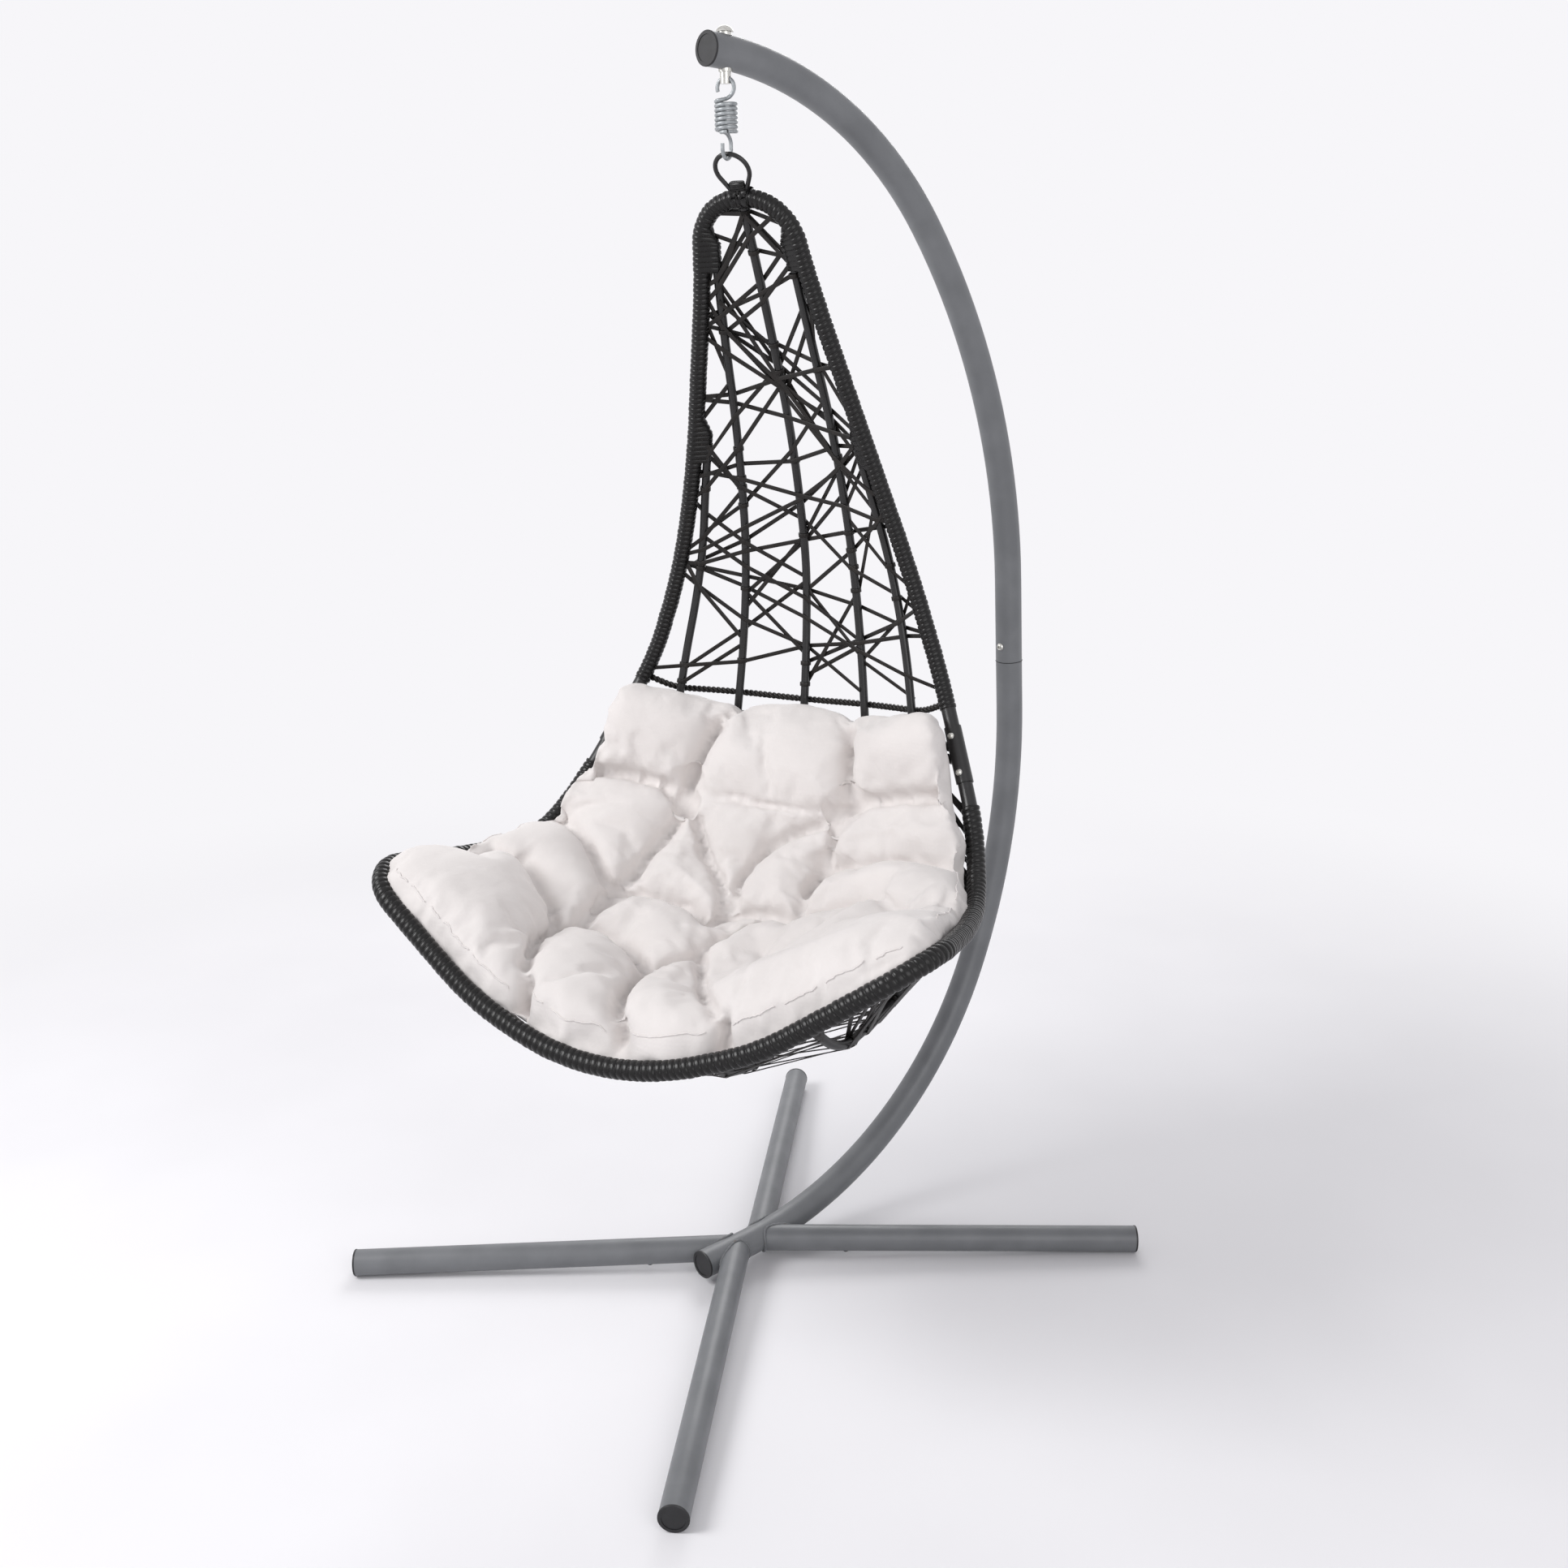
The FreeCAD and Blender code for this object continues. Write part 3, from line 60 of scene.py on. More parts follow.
def spot(right, back, up):
    # a point given in the basket's own directions, in millimetres
    return basketTurn @ Vector((right * mm, back * mm, up * mm))


def heading(right, back, up):
    return (basketTurn.to_3x3() @ Vector((right, back, up))).normalized()


def mirrored(points):
    return [(-x, y, z) for x, y, z in points]


# Colours and materials

def linear(hexCode):
    channels = [int(hexCode[i:i + 2], 16) / 255 for i in (0, 2, 4)]
    return [c / 12.92 if c <= 0.04045 else ((c + 0.055) / 1.055) ** 2.4 for c in channels] + [1.0]


def addNode(tree, kind, inputs=None, **settings):
    # one node; each input is a value or another node's output
    node = tree.nodes.new(kind)
    for name, value in settings.items():
        setattr(node, name, value)
    for key, value in (inputs or {}).items():
        if isinstance(value, bpy.types.NodeSocket):
            tree.links.new(value, node.inputs[key])
        else:
            node.inputs[key].default_value = value
    return node


def makeMaterial(name, look):
    # tint, bump and gloss each follow a noise, sized in millimetres
    material = bpy.data.materials.new(name)
    material.use_nodes = True
    tree = material.node_tree
    shader = tree.nodes["Principled BSDF"]
    for socket, value in look["sockets"].items():
        shader.inputs[socket].default_value = value
    where = addNode(tree, "ShaderNodeTexCoord").outputs["Object"]
    pattern = {}
    for use in ("tint", "bump", "gloss"):
        if use in look:
            size, detail, distortion = look[use]["noise"]
            noiseNode = addNode(tree, "ShaderNodeTexNoise", {"Vector": where, "Scale": 1000 / size, "Detail": detail,
                                                             "Distortion": distortion})
            pattern[use] = noiseNode.outputs["Fac"]
    # painted shade: the tint is pulled to the dark colour where the named attribute marks a groove
    if "paintedShadeWhere" in look:
        dark = addNode(tree, "ShaderNodeAttribute", attribute_name=look["paintedShadeWhere"]).outputs["Fac"]
        less = addNode(tree, "ShaderNodeMath", {0: pattern["tint"], 1: dark}, operation="SUBTRACT")
        pattern["tint"] = less.outputs[0]
    if "threads" in look:
        # a wave texture repeats after 2 pi / 20 at a scale of 1
        scale = 2 * math.pi / 20 * 1000 / look["threads"]
        waves = []
        for direction in ("X", "Z"):
            wave = addNode(tree, "ShaderNodeTexWave", {"Vector": where, "Scale": scale, "Distortion": 1.2,
                                                       "Detail": 1.0}, bands_direction=direction)
            waves.append(wave.outputs["Fac"])
        weave = addNode(tree, "ShaderNodeMath", {0: waves[0], 1: waves[1]}, operation="MULTIPLY").outputs[0]
        both = addNode(tree, "ShaderNodeMath", {0: pattern["bump"], 1: look["crush"], 2: weave},
                       operation="MULTIPLY_ADD")
        pattern["bump"] = both.outputs[0]
    low, high = look["tint"]["between"]
    dark, light = look["tint"]["colours"]
    ramp = addNode(tree, "ShaderNodeMapRange", {"Value": pattern["tint"], "From Min": low, "From Max": high})
    mix = addNode(tree, "ShaderNodeMix", {"Factor": ramp.outputs["Result"], "A": linear(dark), "B": linear(light)},
                  data_type="RGBA")
    tree.links.new(mix.outputs[2], shader.inputs["Base Color"])
    if "bump" in look:
        bump = addNode(tree, "ShaderNodeBump", {"Height": pattern["bump"], "Distance": look["bump"]["depth"] * mm,
                                                "Strength": look["bump"]["strength"]})
        tree.links.new(bump.outputs["Normal"], shader.inputs["Normal"])
    if "gloss" in look:
        smooth, rough = look["gloss"]["roughness"]
        ramp = addNode(tree, "ShaderNodeMapRange", {"Value": pattern["gloss"], "To Min": smooth, "To Max": rough})
        tree.links.new(ramp.outputs["Result"], shader.inputs["Roughness"])
    return material


# noise: size in millimetres, detail and distortion
materialLooks = {
    # baked polyester powder: even satin grey with the faint orange peel of the melted powder
    "powderCoatGrey": {
        "sockets": {"Roughness": 0.42},
        "tint": {"noise": (60, 4, 0), "between": (0.35, 0.65), "colours": ("6c6e71", "75777a")},
        "bump": {"noise": (2.2, 1, 0), "depth": 0.06, "strength": 0.5},
        "gloss": {"noise": (25, 3, 0), "roughness": (0.36, 0.48)}},
    # weld beads under the same powder, with a little rust where it is thin
    "powderCoatOverWeld": {
        "sockets": {"Roughness": 0.5},
        "tint": {"noise": (9, 5, 0), "between": (0.26, 0.4), "colours": ("5f5148", "6c6e71")},
        "bump": {"noise": (1.5, 3, 0), "depth": 0.2, "strength": 0.7}},
    # injection-moulded black polypropylene: fine spark grain, soft highlights
    "mouldedBlackPlastic": {
        "sockets": {"Roughness": 0.48},
        "tint": {"noise": (12, 3, 0), "between": (0.35, 0.65), "colours": ("141416", "1c1c1f")},
        "bump": {"noise": (0.9, 1, 0), "depth": 0.05, "strength": 0.6}},
    # bright zinc on turned steel: metallic, with slight cloudiness
    "zincPlatedSteel": {
        "sockets": {"Metallic": 1.0, "Roughness": 0.28},
        "tint": {"noise": (4, 3, 0), "between": (0.35, 0.65), "colours": ("b9b8b2", "d3d2cd")},
        "gloss": {"noise": (3, 3, 0), "roughness": (0.2, 0.38)}},
    # wound spring steel sprayed light grey: soft sheen, thin spots along the wire
    "paintedSpringSteel": {
        "sockets": {"Metallic": 0.35, "Roughness": 0.36},
        "tint": {"noise": (5, 4, 0), "between": (0.35, 0.65), "colours": ("8d9194", "a8acae")},
        "bump": {"noise": (1.1, 2, 0), "depth": 0.04, "strength": 0.5}},
    # baked black enamel on the frame tubes: smooth, glossier than the powder coat
    "bakedBlackEnamel": {
        "sockets": {"Roughness": 0.33},
        "tint": {"noise": (30, 4, 0), "between": (0.35, 0.65), "colours": ("121112", "191819")},
        "bump": {"noise": (3, 2, 0), "depth": 0.05, "strength": 0.4}},
    # extruded polyethylene strip, waxy, with fine lines from the die; wound tight, its colour carries painted shade
    # in the grooves between the turns
    "woundWickerStrip": {
        "sockets": {"Roughness": 0.25, "Specular IOR Level": 0.3},
        "tint": {"noise": (14, 4, 0), "between": (0.3, 0.7), "colours": ("111010", "191818")},
        "paintedShadeWhere": "paintedGrooveShade",
        "bump": {"noise": (1.3, 3, 0.4), "depth": 0.12, "strength": 0.6},
        "gloss": {"noise": (7, 3, 0), "roughness": (0.17, 0.37)}},
    # the same strip woven loosely: browner and duller from the weather
    "wovenWickerStrip": {
        "sockets": {"Roughness": 0.4, "Specular IOR Level": 0.3},
        "tint": {"noise": (14, 4, 0), "between": (0.3, 0.7), "colours": ("161413", "211d1b")},
        # painted shade in the grooves, on pieces that mark them
        "paintedShadeWhere": "paintedGrooveShade",
        "bump": {"noise": (1.3, 3, 0.4), "depth": 0.12, "strength": 0.6},
        "gloss": {"noise": (7, 3, 0), "roughness": (0.32, 0.52)}},
    # plain-woven polyester cover: matt, faint sheen, crushed; its threads are about 7 mm apart here, far coarser
    # than real ones, so that they show
    "wovenPolyester": {
        "sockets": {"Roughness": 0.88, "Sheen Weight": 0.25, "Sheen Roughness": 0.5},
        "tint": {"noise": (90, 5, 0), "between": (0.3, 0.7), "colours": ("dcd7d5", "e3dedc")},
        "threads": 6.9115, "crush": 9.0,
        "bump": {"noise": (26, 5, 0.8), "depth": 0.16, "strength": 0.55}},
    # matt painted floor, very slightly clouded
    "paintedFloor": {
        "sockets": {"Roughness": 0.7},
        "tint": {"noise": (900, 3, 0), "between": (0.35, 0.65), "colours": ("eeedf0", "f4f3f6")}},
}
materials = {name: makeMaterial(name, look) for name, look in materialLooks.items()}

# the CAD nodes that stay keep their shape and get the real finish
slotMaterials = {
    "stand_paint": "powderCoatGrey", "black_plastic": "mouldedBlackPlastic", "black_steel": "mouldedBlackPlastic",
    "zinc_steel": "zincPlatedSteel", "spring_steel": "paintedSpringSteel", "black_frame": "bakedBlackEnamel",
    "wicker": "wovenWickerStrip", "cushion_cloth": "wovenPolyester",
}
for entry in frame["record"]["subparts"]:
    for materialSlot in nodes[entry["node"]].material_slots:
        materialSlot.material = materials[slotMaterials[entry["material_slot"]]]
print("materials ready")


# Shared making

def placed(name, data):
    thing = bpy.data.objects.new(name, data)
    scene.collection.objects.link(thing)
    return thing


def turnsRound(count):
    # equal steps once round, as angles
    return [2 * math.pi * index / count for index in range(count)]


def finishPiece(piece, materialName, body):
    piece.data.materials.clear()
    piece.data.materials.append(materials[materialName])
    for polygon in piece.data.polygons:
        polygon.use_smooth = True
    if body:
        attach(piece, body)


def meshPiece(name, bm):
    mesh = bpy.data.meshes.new(name)
    bm.to_mesh(mesh)
    bm.free()
    return placed(name, mesh)


def curvePiece(name, splines, depth, flat=0.0, rounds=2):
    # splines: pairs of a list of (place, tilt, radius) and whether it is closed; a mesh piece comes back
    curve = bpy.data.curves.new(name, "CURVE")
    curve.dimensions = "3D"
    curve.twist_mode = "Z_UP" if flat else "MINIMUM"
    curve.bevel_depth, curve.extrude, curve.bevel_resolution = depth, flat, rounds
    curve.use_fill_caps = True
    for points, closed in splines:
        spline = curve.splines.new("POLY")
        spline.points.add(len(points) - 1)
        spline.use_cyclic_u = closed
        for target, (place, tilt, radius) in zip(spline.points, points):
            target.co = (*place, 1.0)
            target.tilt = tilt
            target.radius = radius
    holder = placed(name + "Curve", curve)
    bpy.context.view_layer.update()
    mesh = bpy.data.meshes.new_from_object(holder.evaluated_get(bpy.context.evaluated_depsgraph_get()))
    bpy.data.objects.remove(holder)
    return placed(name, mesh)


def tiltFor(before, here, after, normal):
    # the turn that lays a ribbon's flat side square to the normal
    way = ((here - before).normalized() + (after - here).normalized()).normalized()
    upright = (Vector((0, 0, 1)) - way * way.z).normalized()
    across = way.cross(normal).normalized()
    return math.atan2(upright.cross(across).dot(way), upright.dot(across))


def ribbon(places, normals, closed=False):
    points = []
    count = len(places)
    for index, (place, normal) in enumerate(zip(places, normals)):
        before = places[index - 1] if index or closed else place * 2 - places[1]
        after = places[(index + 1) % count] if index + 1 < count or closed else place * 2 - places[-2]
        points.append((place, tiltFor(before, place, after, normal), 1.0))
    return points, closed


def filletPath(corners, step=4.0):
    # straight runs joined by arcs as large as the runs allow, as the tubes are bent; evenly spaced points
    corners = [Vector(corner) for corner in corners]
    route = [corners[0]]
    for before, corner, after in zip(corners, corners[1:], corners[2:]):
        inward, outward = before - corner, after - corner
        room = 0.5 * min(inward.length, outward.length)
        inward.normalize()
        outward.normalize()
        half = 0.5 * (math.pi - inward.angle(outward))
        radius = room / math.tan(half)
        middle = corner + (inward + outward).normalized() * (radius / math.cos(half))
        enter, leave = corner + inward * room, corner + outward * room
        pieces = max(2, int(2 * half * radius / 2.0))
        start, end = (enter - middle), (leave - middle)
        for index in range(pieces + 1):
            share = index / pieces
            turn = 2 * half * share
            blendOne, blendTwo = math.sin(2 * half - turn) / math.sin(2 * half), math.sin(turn) / math.sin(2 * half)
            route.append(middle + start * blendOne + end * blendTwo)
    route.append(corners[-1])
    return evenly(route, step)


def evenly(route, step):
    lengths = [0.0]
    for one, two in zip(route, route[1:]):
        lengths.append(lengths[-1] + (two - one).length)
    count = max(2, int(round(lengths[-1] / step)))
    found, at = [], 0
    for index in range(count + 1):
        wanted = lengths[-1] * index / count
        while at < len(route) - 2 and lengths[at + 1] < wanted:
            at += 1
        span = lengths[at + 1] - lengths[at]
        share = (wanted - lengths[at]) / span if span else 0.0
        found.append(route[at].lerp(route[at + 1], min(1.0, share)))
    return found


def loopOf(half):
    return half + mirrored([p for p in half if abs(p[0]) > 1e-6])[::-1]


# The basket's lines, in its own directions and millimetres
splitJoint = (317.5, 158.5, 919)
jointWay = Vector((48, -49, -106)).normalized()
hoopHalf = [splitJoint, tuple(Vector(splitJoint) - jointWay * 126), (212, 212, 1195), (160, 172, 1375),
            (117, 117, 1550), (93, 88, 1648), (71, 45, 1776)]
rimHalf = [splitJoint, tuple(Vector(splitJoint) + jointWay * 119), (404, 16, 728), (440, -130, 738),
           (477, -373, 787), (330, -405, 687), (235, -424, 624), (76, -449, 573)]
backRibs = {
    "centre": [(0, 45, 1776), (0, 115, 1632), (0, 212, 1420), (0, 266, 1200), (0, 262, 1060), (0, 248, 928.5)],
    "inner": [(61, 74, 1702), (74, 120, 1582), (87, 187, 1416), (98, 234, 1225), (110, 243, 1070),
              (122, 234, 928.5)],
    "outer": [(135, 171, 1400), (152, 190, 1320), (170, 213, 1230), (190, 219, 1130), (208, 211, 1040),
              (224, 199, 928.5)],
}
seatRibs = {
    "centre": [(0, 248, 909.5), (0, 238, 860), (0, 213, 760), (0, 160, 658), (0, 78, 580), (0, -35, 526),
               (0, -160, 506), (0, -290, 514), (0, -390, 542), (0, -449, 573)],
    "inner": [(122, 234, 909.5), (121, 230, 860), (128, 206, 760), (138, 155, 663), (148, 72, 588),
              (155, -38, 538), (160, -165, 520), (163, -290, 535), (165, -385, 566), (166, -434, 600)],
    "outer": [(224, 199, 909.5), (260, 172, 820), (299, 100, 704), (324, -20, 632), (331, -160, 611),
              (322, -330, 606), (311, -407, 676)],
}


def framesAlong(route):
    # point, direction and two square directions at each point, turning as little as possible
    found = []
    side = None
    for index, here in enumerate(route):
        before, after = route[max(0, index - 1)], route[min(len(route) - 1, index + 1)]
        way = (after - before).normalized()
        side = way.orthogonal().normalized() if side is None else (side - way * side.dot(way)).normalized()
        found.append((here, way, side, way.cross(side)))
    return found


def sleeveGrid(name, frames, sides, radiusAt):
    # a grid rolled into a tube along the frames; radiusAt(ring, angle) gives the skin's distance and the painted shade
    # stored there
    bm = bmesh.new()
    paintedGrooveShade = bm.verts.layers.float.new("paintedGrooveShade")
    rings = len(frames) - 1
    bmesh.ops.create_grid(bm, x_segments=rings, y_segments=sides, size=0.5)
    for vert in bm.verts:
        ring = int(round((vert.co.x + 0.5) * rings))
        angle = 2 * math.pi * round((vert.co.y + 0.5) * sides) / sides
        centre, way, one, two = frames[ring]
        radius, vert[paintedGrooveShade] = radiusAt(ring, angle)
        vert.co = spot(*(centre + (one * math.cos(angle) + two * math.sin(angle)) * radius))
    bmesh.ops.remove_doubles(bm, verts=bm.verts, dist=0.00002)
    rims = [edge for edge in bm.edges if edge.is_boundary]
    bmesh.ops.holes_fill(bm, edges=rims)
    bmesh.ops.recalc_face_normals(bm, faces=bm.faces)
    return meshPiece(name, bm)


def crossesAt(route, height):
    for one, two in zip(route, route[1:]):
        if (one.z - height) * (two.z - height) <= 0 and one.z != two.z:
            return one.lerp(two, (height - one.z) / (two.z - one.z))
    return None


hoopRoute = filletPath(loopOf(hoopHalf))
rimRoute = filletPath(loopOf(rimHalf))
ribRoutes = {}
for part, ribs in (("back", backRibs), ("seat", seatRibs)):
    for name, corners in ribs.items():
        ribRoutes[part, name, 1] = filletPath(corners)
        ribRoutes[part, name, -1] = filletPath(mirrored(corners))


# Wicker wound on the hoop and the rim: every turn is a low band, and the rib ends are bound in
winding = {
    "hoop": {"pitch": 8.3, "skin": 13.9, "groove": 2.0, "bareEnd": 80, "ringStep": 1.05, "sides": 22},
    "rim": {"pitch": 10.4, "skin": 15.3, "groove": 2.6, "bareEnd": 90, "ringStep": 1.3, "sides": 22},
    "boundRibs": [("inner", 1742, 1672), ("outer", 1446, 1372)],
    "taper": 26,
    "ribSkin": 8.6,
    "grooveSharpness": 4,
    "turnVariation": 0.9,
    "spineRise": 1.1,
    "spineFacing": 0.93,
}


def hullRadius(alpha, big, small, apart):
    # distance from the big circle's centre to a band pulled tight round both circles
    alpha = abs(math.atan2(math.sin(alpha), math.cos(alpha)))
    lean = math.acos(max(-1.0, min(1.0, (big - small) / apart)))
    if alpha >= lean:
        return big
    if alpha > math.atan2(small * math.sin(lean), apart + small * math.cos(lean)):
        return big / math.cos(lean - alpha)
    return apart * math.cos(alpha) + math.sqrt(max(0.0, small ** 2 - (apart * math.sin(alpha)) ** 2))


def woundTube(name, route, look, bound, node):
    total = sum((two - one).length for one, two in zip(route, route[1:]))
    fine = evenly(route, look["ringStep"])
    step = total / (len(fine) - 1)
    skip = int(round(look["bareEnd"] / step))
    fine = fine[skip:-skip]
    frames = framesAlong(fine)
    ties = {}
    for ribName, high, low in bound:
        for ring, (centre, way, one, two) in enumerate(frames):
            if low <= centre.z <= high:
                hand = 1 if centre.x > 0 else -1
                ribAt = crossesAt(ribRoutes["back", ribName, hand], min(centre.z, backRibs[ribName][0][2] - 1))
                offset = ribAt - centre
                offset -= way * offset.dot(way)
                fade = min(1.0, (centre.z - low) / 3, (high - centre.z) / winding["taper"])
                ties[ring] = (math.atan2(offset.dot(two), offset.dot(one)), offset.length, fade)

    def radiusAt(ring, angle):
        turns = ring * step / look["pitch"] - angle / (2 * math.pi)
        band = turns - math.floor(turns)
        groove = abs(2 * band - 1) ** winding["grooveSharpness"]
        along = math.floor(turns) + angle / (2 * math.pi)
        radius = look["skin"] + winding["turnVariation"] * noise.noise(Vector((along * 1.7, 4.1, 0.0)))
        # a spine strand runs under the turns along the front
        facing = frames[ring][2] * math.cos(angle) + frames[ring][3] * math.sin(angle)
        faced = max(0.0, -facing.y - winding["spineFacing"]) / (1 - winding["spineFacing"])
        radius += winding["spineRise"] * faced
        if ring in ties:
            towards, apart, fade = ties[ring]
            wide = hullRadius(angle - towards, radius, winding["ribSkin"], apart)
            radius += (wide - radius) * fade
        # the groove's shape is also stored as painted shade
        return radius - look["groove"] * groove, groove

    piece = sleeveGrid(name, frames, look["sides"], radiusAt)
    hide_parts(node)
    finishPiece(piece, "woundWickerStrip", "basket")


woundTube("hoopWinding", hoopRoute, winding["hoop"], winding["boundRibs"], "hoop_wrap")
woundTube("rimWinding", rimRoute, winding["rim"], [], "rim_wrap")
print("windings done")


# Crown lashing: a wound collar round the ring's legs and four straps over the hoop, two of them crossed
lashing = {"collarStart": 14.2, "collarLength": 11.5, "ringStep": 0.45, "sides": 28, "turnPitch": 3.9, "legSpread": 7.5,
           "skin": 5.4, "groove": 0.7, "grooveSharpness": 6, "strapWidth": 8.5, "strapThick": 1.6, "strapLift": 15.2,
           "strapPoints": 24, "strapTurnsAndShifts": [(28, -3), (-28, 3), (9, -10), (-8, 11)]}
crownPoint = Vector((0, 45, 1776))
ringLean = (Vector((0, 0, 1834.45)) - crownPoint).normalized()


def crownCollar():
    look = lashing
    rings = int(look["collarLength"] / look["ringStep"])
    across, back = Vector((1, 0, 0)), ringLean.cross(Vector((1, 0, 0)))
    frames = [(crownPoint + ringLean * (look["collarStart"] + look["collarLength"] * ring / rings), ringLean,
               across, back) for ring in range(rings + 1)]

    def radiusAt(ring, angle):
        turns = look["collarLength"] * ring / rings / look["turnPitch"] - angle / (2 * math.pi)
        groove = abs(2 * (turns - math.floor(turns)) - 1) ** look["grooveSharpness"]
        flat = hullRadius(angle if math.cos(angle) > 0 else math.pi - angle, look["skin"], look["skin"],
                          look["legSpread"])
        # the groove's shape is also stored as painted shade
        return flat - look["groove"] * groove, groove

    piece = sleeveGrid("crownCollar", frames, look["sides"], radiusAt)
    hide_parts("ring_lashing")
    finishPiece(piece, "woundWickerStrip", "basket")


def crownStraps():
    look = lashing
    splines = []
    for lean, shift in look["strapTurnsAndShifts"]:
        spin = Matrix.Rotation(math.radians(lean), 3, Vector((0, 0, 1)))
        places, normals = [], []
        for turn in turnsRound(look["strapPoints"]):
            outward = spin @ Vector((0, math.cos(turn), math.sin(turn)))
            places.append(spot(*(crownPoint + Vector((shift, 0, 0)) + outward * look["strapLift"])))
            normals.append(heading(*outward))
        splines.append(ribbon(places, normals, True))
    piece = curvePiece("crownStraps", splines, look["strapThick"] / 2 * mm, look["strapWidth"] / 2 * mm, 1)
    finishPiece(piece, "woundWickerStrip", "basket")


crownCollar()
crownStraps()


# Random weave of flat strips, laid from tube to tube and looped round some of the ribs
weaving = {"seatStrands": 40, "seatSide": 22, "stripWidth": 7.2, "stripThick": 1.5, "ribOffset": 8.0, "loopShare": 0.3,
           "loopPoints": 12, "loopGap": 0.4, "backLow": 985, "backHigh": 1756, "backStop": 20, "backHalfWidth": 270,
           "heightScatter": 6, "turnScatter": 10, "climbSpread": (0.75, 1.25), "backTurn": 0.9 / 260,
           "seatMiddle": (0, -110, 1060), "seatEnds": (0.005, 0.995), "seatDrift": (0.02, 0.2), "seatScatter": 0.01,
           "sideSlope": (0.03, 0.09), "rimSkip": 23}


def loopRound(centre, way, radius):
    one = way.orthogonal().normalized()
    two = way.cross(one)
    places, normals = [], []
    for turn in turnsRound(weaving["loopPoints"]):
        outward = one * math.cos(turn) + two * math.sin(turn)
        places.append(spot(*(centre + outward * radius)))
        normals.append(heading(*outward))
    return ribbon(places, normals, True)


def strandThrough(rails, values, pointOn, normalAt, rng, splines):
    # rails: the tubes in order; the strip passes each rib on one side of it
    places, normals = [], []
    last = len(rails) - 1
    for index, (rail, value) in enumerate(zip(rails, values)):
        found = pointOn(rail, value)
        if found is None:
            continue
        centre, way = found
        outward = normalAt(centre)
        isEnd = index in (0, last)
        side = 0 if isEnd else rng.choice((-1, 1))
        places.append(spot(*(centre + outward * side * weaving["ribOffset"])))
        normals.append(heading(*outward))
        if not isEnd and rng.random() < weaving["loopShare"]:
            splines.append(loopRound(centre, way, weaving["ribOffset"] + weaving["loopGap"]))
    if len(places) > 1:
        splines.append(ribbon(places, normals))


def weavePiece(part, splines):
    # the strips of one part as one piece, in place of its plain bays
    piece = curvePiece(part + "Weave", splines, weaving["stripThick"] / 2 * mm,
                       (weaving["stripWidth"] - weaving["stripThick"]) / 2 * mm, 1)
    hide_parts(*["weave_%s_%s_%s" % (part, bay, hand) for bay in ("outer", "middle", "inner")
                         for hand in ("left", "right")])
    finishPiece(piece, "wovenWickerStrip", "basket")
    print(part, "weave:", len(splines), "strips")


def backPoint(rail, height):
    if not rail[0].z >= height >= rail[-1].z:
        return None
    centre = crossesAt(rail, height)
    ahead = crossesAt(rail, height - 6) or centre - Vector((0, 0, 6))
    return centre, (centre - ahead).normalized()


def backNormal(centre):
    # the back is hollow from side to side below, and leans forward near the crown
    if centre.y > 120:
        return Vector((weaving["backTurn"] * centre.x, 1.0, 0.12)).normalized()
    return Vector((0, 0.9, 0.4)).normalized()


def downwards(route):
    return route if route[0].z > route[-1].z else route[::-1]


# from the left tube over the ribs to the right tube
ribOrder = [("outer", -1), ("inner", -1), ("centre", 1), ("inner", 1), ("outer", 1)]
half = len(hoopRoute) // 2
hoopSide = {1: downwards(hoopRoute[:half + 1]), -1: downwards(hoopRoute[half:])}
backRails = [hoopSide[-1], *(downwards(ribRoutes["back", name, hand]) for name, hand in ribOrder), hoopSide[1]]

# first and last rail, climb of one crossing at full width, height of the first end
backRuns = [(0, 6, 84, 1000), (0, 6, 285, 900), (6, 0, 262, 915), (6, 0, 190, 1010), (0, 2, 128, 930), (6, 4, 128, 945),
            (1, 4, 225, 880), (5, 2, 238, 850), (0, 3, 185, 970), (6, 3, 196, 930), (4, 2, 330, 830), (2, 5, 420, 810)]


def backWeave():
    # each strip winds up the back, from one side to the other and back again
    rng = random.Random(23)
    splines = []
    low, high = weaving["backLow"], weaving["backHigh"]
    for first, last, rise, height in backRuns:
        way = 1 if last > first else -1
        side = [backRails[number] for number in range(first, last + way, way)]
        while height < high - weaving["backStop"]:
            width = crossesAt(hoopSide[1], max(height, low)).x
            climb = rise * (0.5 + 0.5 * width / weaving["backHalfWidth"]) * rng.uniform(*weaving["climbSpread"])
            middle = min(high, max(low, height + climb / 2))
            across = [crossesAt(rail, min(rail[0].z - 1, max(rail[-1].z + 1, middle))).x for rail in side]
            values = [min(high, height + climb * (x - across[0]) / (across[-1] - across[0])
                          + rng.uniform(-weaving["heightScatter"], weaving["heightScatter"])) for x in across]
            # a strip that starts below the braided edge begins on the first rib above it
            values = [value if value > low else 0 for value in values]
            strandThrough(side, values, backPoint, backNormal, rng, splines)
            height += climb + rng.uniform(-weaving["turnScatter"], weaving["turnScatter"])
            side = side[::-1]
    weavePiece("back", splines)


def seatPoint(rail, share):
    if not 0.0 <= share <= 1.0:
        return None
    at = share * (len(rail) - 2)
    index = int(at)
    way = (rail[index + 1] - rail[index]).normalized()
    return rail[index].lerp(rail[index + 1], at - index), way


def seatNormal(centre):
    return (centre - Vector(weaving["seatMiddle"])).normalized()


def onRail(share):
    low, high = weaving["seatEnds"]
    return min(high, max(low, share))


